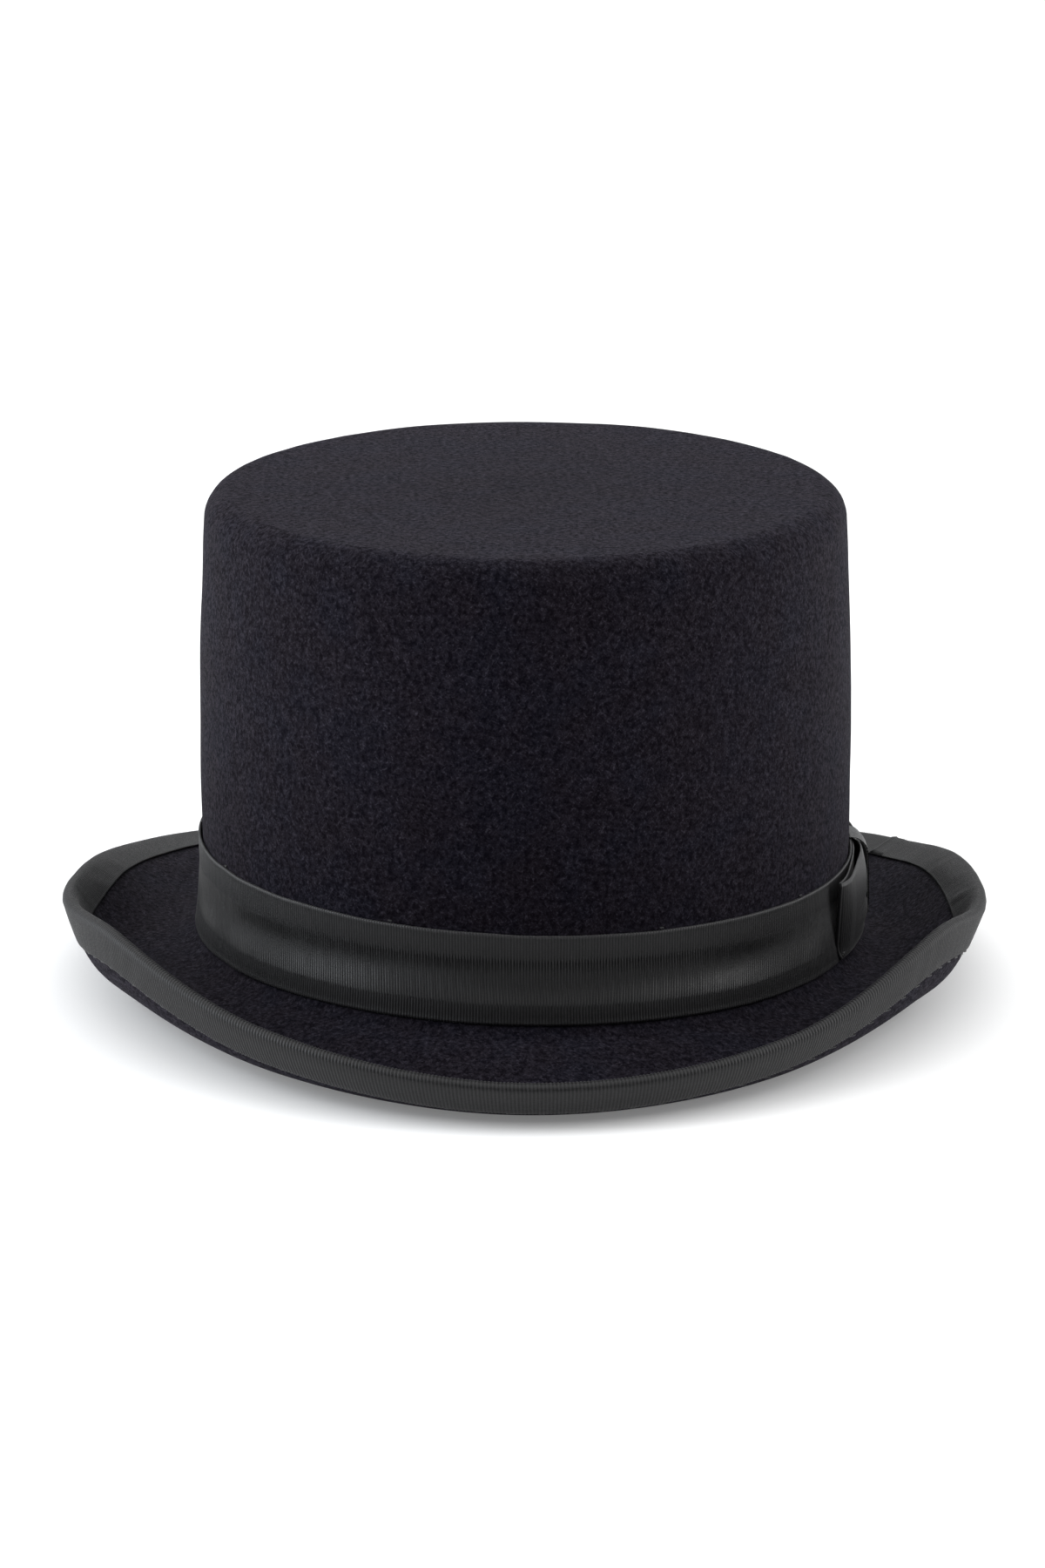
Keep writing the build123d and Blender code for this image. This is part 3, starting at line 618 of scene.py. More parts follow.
def build_knot():
    """Strip wrapped over the bow, ribs running along the hat, selvedges slightly scalloped."""
    cells = 36
    m, ny = cells * 4, 19
    V, v = None, np.linspace(0, 1, m)
    U, V = np.meshgrid(np.linspace(0, 1, ny), v, indexing="ij")
    rib = np.broadcast_to(rib_profile(np.arange(m) * 2 * math.pi / 4.0)[None, :], U.shape)
    # drawn in at the top, spreading toward the foot
    y0 = KNOT_Y0 + 0.6 * (1 - V)
    y1 = KNOT_Y1 - 0.6 * (1 - V)
    Y = y0 + (y1 - y0) * U + np.where(U < 0.02, -1.0, np.where(U > 0.98, 1.0, 0.0)) * (rib - 0.5) * 0.22
    TH = angle_at(Y)
    s0, s1 = band_top_s(TH) - 1.0, BAND_LOW_S + 1.0
    S = s0 + (s1 - s0) * V
    belly = 0.25 + 0.75 * np.clip(V * 1.6, 0, 1) * np.sin(math.pi * np.clip(V, 0, 0.985)) ** 0.35
    folds = 0.16 * np.sin(U * math.pi * 3.0 + 1.2) * np.sin(math.pi * V) ** 0.5
    outer = O_KNOT + KNOT_T - 0.3 + 1.25 * (belly - 0.25) + folds + 0.25 * np.cos(math.pi * (U - 0.5)) ** 2
    # the ends curve in over both edges of the band
    turn = np.clip(np.where(V < 0.5, V / 0.16, (1 - V) / 0.07), 0, 1)
    turn = np.sqrt(np.clip(1 - (1 - turn) ** 2, 0, 1))
    back = O_BAND + 0.1
    outer = back + (outer - back) * (0.10 + 0.90 * turn)
    edge = np.clip(np.minimum(U, 1 - U) / 0.08 + 0.4, 0, 1)
    Po = on_surface(TH, S, outer - 0.15 * (1 - rib) * edge)
    Pi = on_surface(TH, S, np.maximum(outer - 0.45, back - 0.05))
    return sheet_between("bow_strip", Po, Pi, rib)


# ------------------------------------------------------------------ inside
def wall_ring(name, th, rows, closed=True, ends=False):
    """rows: (z, off) arrays round the section, off from the felt's mid wall."""
    R = np.stack([crown_r(th, np.broadcast_to(z, th.shape)) - FELT_WALL / 2 + o for z, o in rows], 1)
    Z = np.stack([np.broadcast_to(z, th.shape) for z, o in rows], 1)
    uv = np.stack([np.broadcast_to(th[:, None] * 0.09, R.shape), Z * MM], -1)
    return ring_mesh(name, world(th, R, Z), closed, uv, ends=ends)


def build_sweatband():
    n = 720
    th = np.linspace(-math.pi, math.pi, n, endpoint=False)
    z0 = root_z(th) + SW_Z0
    z1 = z0 + SWEAT_H
    wav = smooth_noise(31, th, 0 * th, 30, 1, 1) * 0.12
    rows = []
    rows.append((z0, O_SW - 0.05 + 0 * wav))
    fr = np.linspace(0, 1, 18)
    back = [(z0 + (z1 - z0) * f, O_SW + 0.0 * th) for f in fr]
    front = []
    for f in fr[::-1]:
        o = O_SW - SWEAT_T + 0.06 * smooth_noise(32, th, np.full(n, f), 44, 6, 1)
        if f < 0.12:
            o = o - 0.10 * math.sin(math.pi * f / 0.12)          # soft roll over the reed
        if f > 0.985:
            o = o + 0.35
        if f < 0.01:
            o = o + 0.3
        front.append((z0 + (z1 - z0) * f, o))
    return wall_ring("sweat_leather", th, back + front)


def thread_run(name, th_c, half, zfun, off, w, thick=0.32):
    """Short rounded stitches lying along the wall."""
    V, F = [], []
    base = 0
    k = 6
    for i, t in enumerate(th_c):
        ts = np.linspace(-1, 1, 7)
        for a in ts:
            tt = t + a * half
            lift = 1 - a ** 4
            zz = zfun(tt)
            rr = crown_r(tt, zz) - FELT_WALL / 2 + off
            rad = max(0.04, w / 2 * (1 - a ** 6 * 0.75))
            for q in range(k):
                p = 2 * math.pi * q / k
                r2 = rr - math.sin(p) * thick / 2 * (rad / (w / 2)) - (lift - 1) * 0.12
                V.append([r2 * math.cos(tt), r2 * math.sin(tt), zz + math.cos(p) * rad])
        for a in range(6):
            for q in range(k):
                F.append([base + a * k + q, base + a * k + (q + 1) % k, base + (a + 1) * k + (q + 1) % k, base + (a + 1) * k + q])
        F.append([base + 0, base + 5, base + 4, base + 1])
        F.append([base + 1, base + 4, base + 3, base + 2])
        e = base + 6 * k
        F.append([e + 1, e + 4, e + 5, e + 0])
        F.append([e + 2, e + 3, e + 4, e + 1])
        base += 7 * k
    V = (np.array(V) + MOVE) * MM
    return mesh_object(name, V, [np.array(F)])


def build_reed_and_tape():
    n = 360
    th = np.linspace(-math.pi, math.pi, n, endpoint=False)
    off0, dz = O_SW + 1.45, -8.2
    rows_reed = [(root_z(th) + dz + 0.85 * math.sin(a), off0 + 0.85 * math.cos(a)) for a in np.linspace(0, 2 * math.pi, 12, endpoint=False)]
    reed = wall_ring("reed_core", th, rows_reed)
    rows = []
    for a in np.linspace(math.radians(150), math.radians(-190), 18):
        rows.append((root_z(th) + dz + 1.22 * math.sin(a), off0 + 1.22 * math.cos(a)))
    rows.append((root_z(th) - 4.0, O_LIN - 0.28))
    rows.append((root_z(th) + 0.8, O_LIN - 0.28))
    rows.append((root_z(th) + 0.8, O_LIN))
    rows.append((root_z(th) - 4.0, O_LIN))
    tape = wall_ring("reed_cover", th, rows)
    return reed, tape


def build_lining():
    n = 720
    th = np.linspace(-math.pi, math.pi, n, endpoint=False)
    fr = np.linspace(0, 1, 26)
    z = lambda f: LIN_Z0 + (LIN_Z1 - LIN_Z0) * f
    rows = [(z(f), O_LIN + 0 * th) for f in fr]
    for f in fr[::-1]:
        # soft gathers that deepen toward the tip
        g = (0.5 + 0.5 * np.sin(th * 64 + 1.5 * smooth_noise(41, th, 0 * th, 20, 1, 1)))
        rows.append((z(f), O_LIN - LINING_T - 0.02 - 0.55 * g * f ** 1.5 * (1 if f < 0.999 else 0.2)))
    wall = wall_ring("lining_satin_wall", th, rows)
    # tip: a flat oval cup over the gathered edge
    zt = HAT_HEIGHT - FELT_TIP - 0.2
    cin = FELT_WALL / 2 - O_SW
    r = TIP_EDGE_R - cin
    zr = zt - r
    prof = [(117.0, 0.0)]
    m = 8
    for k in range(m + 1):
        p = math.radians(90 * k / m)
        prof.append((zr + r * math.sin(p), r * (1 - math.cos(p))))
    a = crown_a(zr)
    R, Z = [], []
    n2 = 360
    th2 = np.linspace(-math.pi, math.pi, n2, endpoint=False)
    pucker = np.sin(th2 * 64)

    def add(rr, zz):
        R.append(rr); Z.append(np.broadcast_to(zz, (n2,)).copy())
    for zz, back in prof:
        add(oval_r(a - cin - back, a + CROWN_LONGER - cin - back, 2.0, th2), zz)
    for f in (0.85, 0.6, 0.35, 0.1, 0.02):
        add(oval_r(a - cin - r, a + CROWN_LONGER - cin - r, 2.0, th2) * f, zt)
    for f in (0.02, 0.1, 0.35, 0.6, 0.85):
        add(oval_r(a - cin - r, a + CROWN_LONGER - cin - r, 2.0, th2) * f, zt - LINING_T - 0.25 * (1 - f))
    for zz, back in prof[::-1]:
        zz2 = min(zz, zt - LINING_T) if back > 0 else zz
        add(oval_r(a - cin - back, a + CROWN_LONGER - cin - back, 2.0, th2) - LINING_T - 0.12 * (1 + pucker) * (1 if back < r * 0.9 else 0), zz2)
    P = world(th2, np.array(R).T, np.array(Z).T)
    tip = ring_mesh("lining_satin_tip", P, True)
    return wall, tip


def build_label():
    th = np.radians(np.linspace(104.0, 114.0, 30))
    rows = []
    zs = np.linspace(22.0, 34.0, 8)
    o = O_SW - SWEAT_T - 0.15
    for z in zs:
        rows.append((z + 0 * th, o + 0 * th - 0.06))
    for z in zs[::-1]:
        u = (th - th[0]) / (th[-1] - th[0])
        rows.append((z + 0 * th, o - 0.24 - 0.03 * np.sin(u * 40)))
    return wall_ring("blank_label", th, rows, closed=False, ends=True)


def build_inner_bow():
    by = float(crown_r(math.pi / 2, 30.0)) - FELT_WALL / 2 + O_SW - SWEAT_T - 0.25 - 1.6
    bz = 44.0
    objs = []
    for sgn in (-1, 1):
        n, m = 48, 9
        ang = np.linspace(0, 2 * math.pi, n, endpoint=False)
        z = np.linspace(-2.5, 2.5, m)
        pinch = 0.5 + 0.5 * np.cos(ang) * sgn
        V = []
        for t, ring in ((0.0, z), (0.32, z[::-1])):
            lay = []
            for zz in ring:
                h = (0.55 + 0.45 * np.clip(pinch, 0, 1))
                lay.append(np.stack([sgn * 6.6 + (5.5 - t) * np.cos(ang), by + (1.45 - t) * np.sin(ang), bz + zz * h + 0.15 * np.sin(ang * 3)], -1))
            V.append(np.stack(lay, 1))
        P = (np.concatenate(V, 1) + MOVE) * MM
        objs.append(ring_mesh("inner_bow_loop_%s" % ("l" if sgn < 0 else "r"), P, True))
    n, m = 40, 7
    ang = np.linspace(0, 2 * math.pi, n, endpoint=False)
    lay = []
    for t, xs in ((0.0, np.linspace(-1.7, 1.7, m)), (0.35, np.linspace(1.7, -1.7, m))):
        for x in xs:
            sc = 1 - 0.06 * (x / 1.7) ** 2
            lay.append(np.stack([np.full(n, x), by + (1.5 - t) * sc * np.sign(np.cos(ang)) * np.abs(np.cos(ang)) ** 0.6,
                                 bz + (2.8 - t) * sc * np.sign(np.sin(ang)) * np.abs(np.sin(ang)) ** 0.6], -1))
    P = (np.stack(lay, 1) + MOVE) * MM
    objs.append(ring_mesh("inner_bow_knot", P, True))
    return objs


# ------------------------------------------------------------------ materials
def new_mat(name):
    m = bpy.data.materials.new(name)
    m.use_nodes = True
    nt = m.node_tree
    nt.nodes.clear()
    out = nt.nodes.new("ShaderNodeOutputMaterial")
    bs = nt.nodes.new("ShaderNodeBsdfPrincipled")
    nt.links.new(bs.outputs[0], out.inputs[0])
    return m, nt, bs


def node(nt, kind, **kw):
    n = nt.nodes.new(kind)
    for k, v in kw.items():
        if k.startswith("i_"):
            n.inputs[k[2:].replace("_", " ")].default_value = v
        else:
            setattr(n, k, v)
    return n


def setv(bs, **kw):
    for k, v in kw.items():
        bs.inputs[k.replace("_", " ")].default_value = v


def ramp(nt, src, stops):
    r = nt.nodes.new("ShaderNodeValToRGB")
    els = r.color_ramp.elements
    while len(els) < len(stops):
        els.new(0.5)
    for e, (p, c) in zip(els, stops):
        e.position = p
        e.color = (c[0], c[1], c[2], 1) if hasattr(c, "__len__") else (c, c, c, 1)
    nt.links.new(src, r.inputs[0])
    return r


def math_node(nt, op, a, b=None, c=None):
    n = nt.nodes.new("ShaderNodeMath")
    n.operation = op
    for i, v in enumerate((a, b, c)):
        if v is None:
            continue
        if hasattr(v, "default_value") or hasattr(v, "is_linked"):
            nt.links.new(v, n.inputs[i])
        else:
            n.inputs[i].default_value = v
    return n.outputs[0]


def wrap_coords(nt, radius=0.093):
    """Coordinates laid on the hat: distance round it (seam at the back), height, distance out."""
    tc = nt.nodes.new("ShaderNodeTexCoord")
    sep = nt.nodes.new("ShaderNodeSeparateXYZ")
    nt.links.new(tc.outputs["Object"], sep.inputs[0])
    x, y, z = sep.outputs
    ang = math_node(nt, "ARCTAN2", x, math_node(nt, "MULTIPLY", y, -1.0))
    arc = math_node(nt, "MULTIPLY", ang, radius)
    rad = math_node(nt, "SQRT", math_node(nt, "ADD", math_node(nt, "MULTIPLY", x, x), math_node(nt, "MULTIPLY", y, y)))
    com = nt.nodes.new("ShaderNodeCombineXYZ")
    nt.links.new(arc, com.inputs[0]); nt.links.new(z, com.inputs[1]); nt.links.new(rad, com.inputs[2])
    return com.outputs[0], tc.outputs["Object"], sep


def noise(nt, vec, scale, detail=2.0, rough=0.5, stretch=None, distort=0.0):
    if stretch is not None:
        mp = nt.nodes.new("ShaderNodeMapping")
        mp.inputs["Scale"].default_value = stretch
        nt.links.new(vec, mp.inputs[0])
        vec = mp.outputs[0]
    n = nt.nodes.new("ShaderNodeTexNoise")
    n.inputs["Scale"].default_value = scale
    n.inputs["Detail"].default_value = detail
    n.inputs["Roughness"].default_value = rough
    n.inputs["Distortion"].default_value = distort
    nt.links.new(vec, n.inputs["Vector"])
    return n.outputs[0]


def turned(nt, vec, degrees):
    mp = nt.nodes.new("ShaderNodeMapping")
    mp.inputs["Rotation"].default_value = (0.0, 0.0, math.radians(degrees))
    nt.links.new(vec, mp.inputs[0])
    return mp.outputs[0]


def mix_col(nt, fac, a, b, mode="MIX"):
    m = nt.nodes.new("ShaderNodeMix")
    m.data_type = "RGBA"
    m.blend_type = mode
    for idx, v in ((0, fac), (6, a), (7, b)):
        if hasattr(v, "is_linked"):
            nt.links.new(v, m.inputs[idx])
        else:
            m.inputs[idx].default_value = v if idx == 0 else (v[0], v[1], v[2], 1)
    return m.outputs[2]


def bump(nt, bs, height, strength, dist, prev=None):
    b = nt.nodes.new("ShaderNodeBump")
    b.inputs["Strength"].default_value = strength
    b.inputs["Distance"].default_value = dist
    nt.links.new(height, b.inputs["Height"])
    if prev is not None:
        nt.links.new(prev, b.inputs["Normal"])
    nt.links.new(b.outputs[0], bs.inputs["Normal"])
    return b.outputs[0]


def felt_material():
    m, nt, bs = new_mat("fur_felt_midnight")
    wrap, obj, _ = wrap_coords(nt)
    big = noise(nt, obj, 62.0, 3.0, 0.6)
    mid = noise(nt, obj, 780.0, 3.0, 0.60)
    hair_a = noise(nt, turned(nt, wrap, 34.0), 1.0, 3.0, 0.62, stretch=(2300.0, 860.0, 1300.0), distort=0.6)
    hair_b = noise(nt, turned(nt, wrap, -38.0), 1.0, 3.0, 0.62, stretch=(2200.0, 820.0, 1300.0), distort=0.6)
    hair_c = noise(nt, turned(nt, obj, 28.0), 1.0, 3.0, 0.62, stretch=(900.0, 2200.0, 1600.0), distort=0.6)
    hair = math_node(nt, "MAXIMUM", math_node(nt, "MAXIMUM", hair_a, hair_b), hair_c)
    tone = ramp(nt, big, [(0.36, (0.0046, 0.0033, 0.0058)), (0.50, (0.0044, 0.0034, 0.0064)), (0.64, (0.0040, 0.0037, 0.0074))])
    fleck = ramp(nt, hair, [(0.52, (0.0, 0.0, 0.0)), (0.61, (0.0022, 0.0018, 0.0028)), (0.70, (0.0150, 0.0130, 0.0180))])
    col = mix_col(nt, 1.0, tone.outputs[0], fleck.outputs[0], "ADD")
    dust = ramp(nt, mid, [(0.36, (0.60, 0.60, 0.60)), (0.66, (1.45, 1.43, 1.45))])
    col = mix_col(nt, 1.0, col, dust.outputs[0], "MULTIPLY")
    nt.links.new(col, bs.inputs["Base Color"])
    rough = ramp(nt, mid, [(0.3, 0.82), (0.7, 0.95)])
    nt.links.new(rough.outputs[0], bs.inputs["Roughness"])
    # the nap also breaks up what the felt reflects when it is seen edge-on
    nap = math_node(nt, "MULTIPLY_ADD", mid, 0.5, math_node(nt, "MULTIPLY", hair, 0.5))
    shine = ramp(nt, nap, [(0.46, 0.030), (0.55, 0.115), (0.66, 0.270)])
    fuzz = ramp(nt, nap, [(0.46, 0.010), (0.55, 0.026), (0.66, 0.060)])
    nt.links.new(shine.outputs[0], bs.inputs["Specular IOR Level"])
    nt.links.new(fuzz.outputs[0], bs.inputs["Sheen Weight"])
    setv(bs, Sheen_Roughness=0.45, Sheen_Tint=(0.80, 0.70, 1.0, 1.0))
    b1 = bump(nt, bs, mid, 0.50, 0.00035)
    bump(nt, bs, hair, 0.80, 0.00035, b1)
    return m


def ribbon_material(name, c0, c1, rough0, rough1, sheen, weave=1.0, spec=0.42):
    """Grosgrain: the cords are real geometry, so this adds the fine warp threads, picks and wear, and paints shade into
    the grooves and a highlight onto the crests.
    """
    m, nt, bs = new_mat(name)
    wrap, obj, _ = wrap_coords(nt)
    big = noise(nt, obj, 22.0, 3.0, 0.55)
    fine = noise(nt, wrap, 1.0, 2.0, 0.5, stretch=(900.0, 5200.0, 1500.0))
    grain = noise(nt, obj, 2600.0, 2.0, 0.6)
    tone = ramp(nt, big, [(0.30, c0), (0.70, c1)])
    pick = ramp(nt, fine, [(0.30, (0.72, 0.72, 0.73)), (0.55, (1.0, 1.0, 1.0)), (0.78, (1.55, 1.52, 1.50))])
    col = mix_col(nt, 1.0, tone.outputs[0], pick.outputs[0], "MULTIPLY")
    spot = ramp(nt, grain, [(0.35, (0.8, 0.8, 0.8)), (0.7, (1.25, 1.25, 1.25))])
    col = mix_col(nt, 1.0, col, spot.outputs[0], "MULTIPLY")
    # painted shade and highlight: the stored rib height darkens the grooves to 0.12 and lightens the crests up to 1.75
    # times the colour
    rib_shade_attr = nt.nodes.new("ShaderNodeAttribute")
    rib_shade_attr.attribute_name = "rib"
    groove = ramp(nt, rib_shade_attr.outputs["Fac"], [(0.08, (0.12, 0.12, 0.13)), (0.60, (0.75, 0.75, 0.75)), (1.0, (1.75, 1.74, 1.72))])
    col = mix_col(nt, 1.0, col, groove.outputs[0], "MULTIPLY")
    nt.links.new(col, bs.inputs["Base Color"])
    rr = ramp(nt, fine, [(0.3, rough0), (0.7, rough1)])
    nt.links.new(rr.outputs[0], bs.inputs["Roughness"])
    setv(bs, Specular_IOR_Level=spec, Sheen_Weight=sheen, Sheen_Roughness=0.35)
    b1 = bump(nt, bs, fine, 0.45 * weave, 0.00012)
    bump(nt, bs, grain, 0.30 * weave, 0.00008, b1)
    return m


def leather_material():
    m, nt, bs = new_mat("sweatband_roan")
    wrap, obj, _ = wrap_coords(nt)
    big = noise(nt, obj, 26.0, 4.0, 0.6)
    vor = nt.nodes.new("ShaderNodeTexVoronoi")
    vor.inputs["Scale"].default_value = 900.0
    nt.links.new(obj, vor.inputs["Vector"])
    grain = noise(nt, obj, 700.0, 4.0, 0.6)
    pores = noise(nt, obj, 2400.0, 1.0, 0.5)
    tone = ramp(nt, big, [(0.30, (0.016, 0.0095, 0.0070)), (0.52, (0.024, 0.0140, 0.0100)), (0.75, (0.036, 0.0215, 0.0150))])
    dk = ramp(nt, grain, [(0.32, (0.70, 0.70, 0.70)), (0.62, (1.15, 1.15, 1.15))])
    col = mix_col(nt, 1.0, tone.outputs[0], dk.outputs[0], "MULTIPLY")
    nt.links.new(col, bs.inputs["Base Color"])
    rr = ramp(nt, grain, [(0.3, 0.34), (0.7, 0.52)])
    nt.links.new(rr.outputs[0], bs.inputs["Roughness"])
    setv(bs, Specular_IOR_Level=0.5, Coat_Weight=0.12, Coat_Roughness=0.3)
    b1 = bump(nt, bs, vor.outputs[0], 0.35, 0.00014)
    b2 = bump(nt, bs, grain, 0.4, 0.00016, b1)
    bump(nt, bs, pores, 0.25, 0.00006, b2)
    return m


def satin_material():
    m, nt, bs = new_mat("lining_satin")
    wrap, obj, _ = wrap_coords(nt)
    big = noise(nt, obj, 30.0, 3.0, 0.55)
    fine = noise(nt, wrap, 1.0, 2.0, 0.5, stretch=(4200.0, 500.0, 2500.0))
    cross = noise(nt, wrap, 1.0, 1.0, 0.5, stretch=(700.0, 4600.0, 2500.0))
    tone = ramp(nt, big, [(0.30, (0.012, 0.012, 0.015)), (0.7, (0.020, 0.020, 0.026))])
    th = ramp(nt, fine, [(0.3, (0.78, 0.78, 0.78)), (0.7, (1.3, 1.3, 1.3))])
    col = mix_col(nt, 1.0, tone.outputs[0], th.outputs[0], "MULTIPLY")
    nt.links.new(col, bs.inputs["Base Color"])
    rr = ramp(nt, cross, [(0.3, 0.26), (0.7, 0.38)])
    nt.links.new(rr.outputs[0], bs.inputs["Roughness"])
    setv(bs, Specular_IOR_Level=0.6, Sheen_Weight=0.25, Sheen_Roughness=0.3, Anisotropic=0.4)
    b1 = bump(nt, bs, fine, 0.25, 0.00006)
    bump(nt, bs, cross, 0.25, 0.00005, b1)
    return m


def thread_material(name, c0, c1):
    m, nt, bs = new_mat(name)
    tc = nt.nodes.new("ShaderNodeTexCoord")
    w = nt.nodes.new("ShaderNodeTexWave")
    w.inputs["Scale"].default_value = 900.0
    w.inputs["Distortion"].default_value = 1.2
    w.bands_direction = "DIAGONAL"
    nt.links.new(tc.outputs["Object"], w.inputs["Vector"])
    n = noise(nt, tc.outputs["Object"], 900.0, 2.0, 0.5)
    col = ramp(nt, w.outputs["Fac"], [(0.1, c0), (0.9, c1)])
    nt.links.new(col.outputs[0], bs.inputs["Base Color"])
    rr = ramp(nt, n, [(0.3, 0.42), (0.7, 0.6)])
    nt.links.new(rr.outputs[0], bs.inputs["Roughness"])
    setv(bs, Specular_IOR_Level=0.45, Sheen_Weight=0.15, Sheen_Roughness=0.4)
    bump(nt, bs, w.outputs["Fac"], 0.6, 0.0001)
    return m


def label_material():
    m, nt, bs = new_mat("label_paper_plain")
    tc = nt.nodes.new("ShaderNodeTexCoord")
    n = noise(nt, tc.outputs["Object"], 420.0, 4.0, 0.6)
    n2 = noise(nt, tc.outputs["Object"], 2600.0, 3.0, 0.6)
    col = ramp(nt, n, [(0.3, (0.50, 0.46, 0.37)), (0.7, (0.62, 0.58, 0.49))])
    nt.links.new(col.outputs[0], bs.inputs["Base Color"])
    rr = ramp(nt, n2, [(0.3, 0.62), (0.7, 0.8)])
    nt.links.new(rr.outputs[0], bs.inputs["Roughness"])
    setv(bs, Specular_IOR_Level=0.35)
    bump(nt, bs, n2, 0.3, 0.00008)
    return m


def tape_material():
    m, nt, bs = new_mat("reed_cover_cloth")
    wrap, obj, _ = wrap_coords(nt)
    fine = noise(nt, wrap, 1.0, 2.0, 0.5, stretch=(3000.0, 1400.0, 2500.0))
    big = noise(nt, obj, 60.0, 2.0, 0.5)
    tone = ramp(nt, big, [(0.3, (0.010, 0.009, 0.009)), (0.7, (0.018, 0.016, 0.016))])
    th = ramp(nt, fine, [(0.3, (0.7, 0.7, 0.7)), (0.7, (1.4, 1.4, 1.4))])
    col = mix_col(nt, 1.0, tone.outputs[0], th.outputs[0], "MULTIPLY")
    nt.links.new(col, bs.inputs["Base Color"])
    rr = ramp(nt, fine, [(0.3, 0.5), (0.7, 0.7)])
    nt.links.new(rr.outputs[0], bs.inputs["Roughness"])
    setv(bs, Specular_IOR_Level=0.35, Sheen_Weight=0.2, Sheen_Roughness=0.4)
    bump(nt, bs, fine, 0.5, 0.0001)
    return m


def reed_material():
    m, nt, bs = new_mat("reed_cane")
    wrap, obj, _ = wrap_coords(nt)
    fine = noise(nt, wrap, 1.0, 3.0, 0.5, stretch=(120.0, 3800.0, 3800.0))
    col = ramp(nt, fine, [(0.3, (0.30, 0.20, 0.10)), (0.7, (0.46, 0.34, 0.19))])
    nt.links.new(col.outputs[0], bs.inputs["Base Color"])
    rr = ramp(nt, fine, [(0.3, 0.4), (0.7, 0.6)])
    nt.links.new(rr.outputs[0], bs.inputs["Roughness"])
    setv(bs, Specular_IOR_Level=0.4)
    bump(nt, bs, fine, 0.4, 0.0001)
    return m


FELT = felt_material()
BAND = ribbon_material("band_grosgrain_black", (0.0100, 0.0098, 0.0108), (0.0142, 0.0140, 0.0150), 0.38, 0.56, 0.12)
BIND = ribbon_material("binding_grosgrain_black", (0.0082, 0.0080, 0.0088), (0.0118, 0.0115, 0.0124), 0.38, 0.56, 0.08, 1.0, 0.30)
LEATHER = leather_material()
SATIN = satin_material()
THREAD = thread_material("thread_black", (0.010, 0.010, 0.011), (0.022, 0.022, 0.024))
THREAD_IN = thread_material("thread_brown", (0.020, 0.013, 0.010), (0.050, 0.034, 0.026))
LABEL = label_material()
TAPE = tape_material()
REED = reed_material()


def put(ob, mat, nodes=()):
    ob.data.materials.clear()
    ob.data.materials.append(mat)
    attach(ob, "root")
    if nodes:
        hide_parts(*nodes)
    return ob


# ------------------------------------------------------------------ pieces
felt = put(build_felt(), FELT, ["felt_body"])
band = put(build_band(), BAND, ["hat_band"])
bind = put(build_binding(), BIND, ["brim_binding"])
lap = put(build_lap(), BIND)
loops = []
for nm, yt, yl, ye, sd, lt in (("bow_loop_front", BOW_Y0 - 2.5, BOW_Y0 + 2.5, 8.4, 51, 2.2),
                               ("bow_loop_rear", BOW_Y1 + 2.0, BOW_Y1 - 2.0, 6.6, 52, 1.2)):
    parts = build_loop(nm, yt, yl, ye, sd, lt)
    for p in parts:
        put(p, BAND, ["bow_loops"] if p is parts[0] and not loops else ())
    loops.append(parts)
knot = put(build_knot(), BAND, ["bow_knot"])

sweat = put(build_sweatband(), LEATHER, ["sweatband"])
reed, tape = build_reed_and_tape()
put(reed, REED, ["sweatband_reed"])
put(tape, TAPE, ["reed_tape"])
wall, tip = build_lining()
put(wall, SATIN, ["lining_wall"])
put(tip, SATIN, ["lining_tip"])
label = put(build_label(), LABEL, ["size_label"])
ib = build_inner_bow()
for i, p in enumerate(ib):
    put(p, SATIN, ["sweatband_bow"] if i == 0 else ())

# thread: the CAD stitches are kept, and given twisted-thread materials
for nm, mat in (("binding_stitches", THREAD), ("band_tacks", THREAD), ("bow_tacks", THREAD),
                ("lining_tacks", THREAD_IN), ("sweatband_stitches", THREAD_IN)):
    ob = frame["nodes"].get(nm)
    if ob is not None:
        ob.data.materials.clear()
        ob.data.materials.append(mat)


# ------------------------------------------------------------------ floor, light and camera
def floor_material():
    m, nt, bs = new_mat("studio_paper")
    tc = nt.nodes.new("ShaderNodeTexCoord")
    n = noise(nt, tc.outputs["Object"], 3.0, 2.0, 0.5)
    col = ramp(nt, n, [(0.3, (0.88, 0.88, 0.88)), (0.7, (0.90, 0.90, 0.90))])
    nt.links.new(col.outputs[0], bs.inputs["Base Color"])
    setv(bs, Roughness=0.9, Specular_IOR_Level=0.1, Emission_Color=(1.0, 1.0, 1.0, 1.0), Emission_Strength=0.16)
    return m


S = 14.0
fl = mesh_object("studio_floor", [(-S, -S, 0), (S, -S, 0), (S, S, 0), (-S, S, 0)], [np.array([[0, 1, 2, 3]])], None, False)
fl.data.materials.append(floor_material())

w = bpy.data.worlds.new("studio")
bpy.context.scene.world = w
w.use_nodes = True
nt = w.node_tree
nt.nodes.clear()
wo = nt.nodes.new("ShaderNodeOutputWorld")
tc = nt.nodes.new("ShaderNodeTexCoord")
sep = nt.nodes.new("ShaderNodeSeparateXYZ")
nt.links.new(tc.outputs["Generated"], sep.inputs[0])
side = math_node(nt, "ABSOLUTE", sep.outputs[0])
dim = ramp(nt, math_node(nt, "MULTIPLY_ADD", sep.outputs[1], 0.5, 0.5), [(0.0, 0.05), (0.30, 0.09), (0.55, 0.62), (1.0, 0.90)])
sid = ramp(nt, side, [(0.40, 0.0), (0.95, 0.60)])
tot = math_node(nt, "MAXIMUM", dim.outputs[0], sid.outputs[0])
bg1 = nt.nodes.new("ShaderNodeBackground")
nt.links.new(tot, bg1.inputs[1])
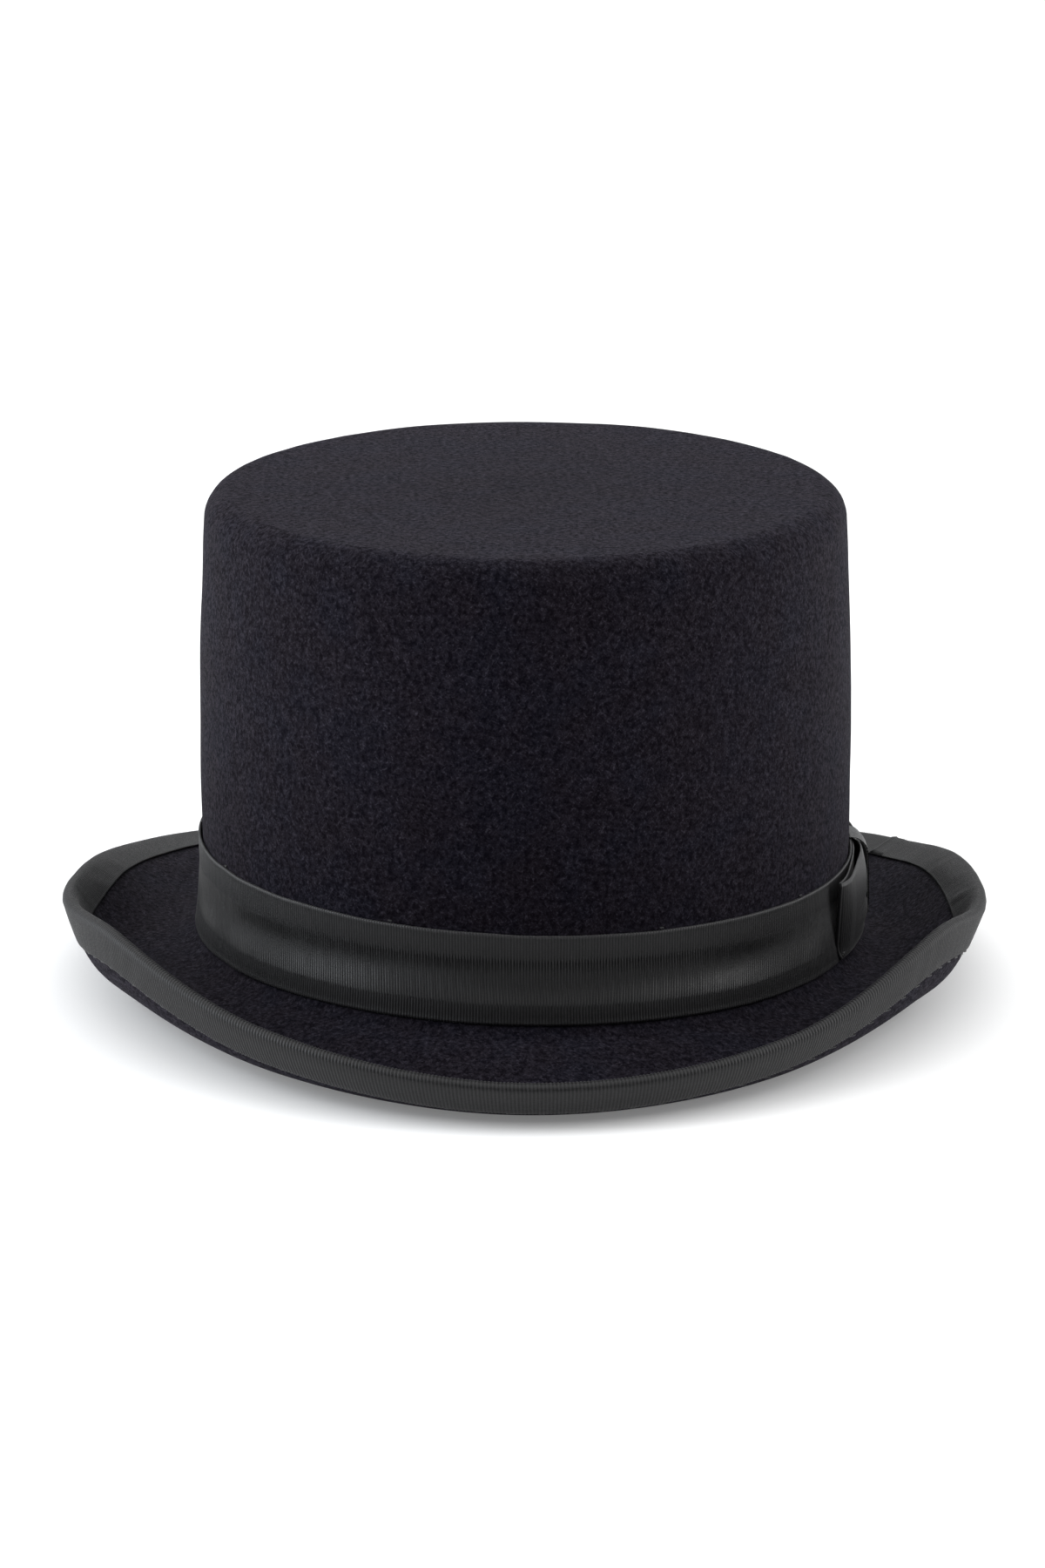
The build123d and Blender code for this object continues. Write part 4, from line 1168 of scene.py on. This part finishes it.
bg1.inputs[0].default_value = (0.97, 0.985, 1.0, 1)
bg2 = nt.nodes.new("ShaderNodeBackground")
bg2.inputs[0].default_value = (1, 1, 1, 1)
bg2.inputs[1].default_value = 1.1
lp = nt.nodes.new("ShaderNodeLightPath")
mx = nt.nodes.new("ShaderNodeMixShader")
nt.links.new(lp.outputs["Is Camera Ray"], mx.inputs[0])
nt.links.new(bg1.outputs[0], mx.inputs[1])
nt.links.new(bg2.outputs[0], mx.inputs[2])
nt.links.new(mx.outputs[0], wo.inputs[0])


def area(name, loc, target, sx, sy, power, col=(1, 1, 1)):
    L = bpy.data.lights.new(name, "AREA")
    L.shape = "RECTANGLE"
    L.size, L.size_y = sx, sy
    L.energy = power
    L.color = col
    o = bpy.data.objects.new(name, L)
    bpy.context.scene.collection.objects.link(o)
    o.location = loc
    o.rotation_euler = (Vector(target) - Vector(loc)).to_track_quat("-Z", "Y").to_euler()
    o.visible_camera = False
    return o


area("soft_left", (-1.25, -0.05, 0.55), (0, 0, 0.08), 0.9, 1.0, 12.0, (0.90, 0.95, 1.0))
area("soft_right", (1.25, 0.05, 0.55), (0, 0, 0.08), 0.9, 1.0, 8.0)
sun = bpy.data.lights.new("soft_overhead", "SUN")
sun.energy = 1.9
sun.angle = math.radians(100.0)
so = bpy.data.objects.new("soft_overhead", sun)
bpy.context.scene.collection.objects.link(so)
so.rotation_euler = (math.radians(4.0), math.radians(-4.0), 0.0)

cam = bpy.data.cameras.new("photo_camera")
cam.lens = 130.0
cam.sensor_width = 36.0
cam.sensor_fit = "AUTO"
cam.clip_start, cam.clip_end = 0.01, 100.0
co = bpy.data.objects.new("photo_camera", cam)
bpy.context.scene.collection.objects.link(co)
co.location = tuple((np.array([-0.829, -1499.97, 425.43]) + MOVE) * MM)
co.rotation_euler = (math.radians(90.0 - 14.083), 0.0, 0.0)
bpy.context.scene.camera = co
bpy.context.scene.view_settings.view_transform = "Standard"
bpy.context.scene.view_settings.look = "None"
bpy.context.scene.view_settings.exposure = 0.0

for ob in frame["nodes"].values():
    if not ob.data.materials:
        pass
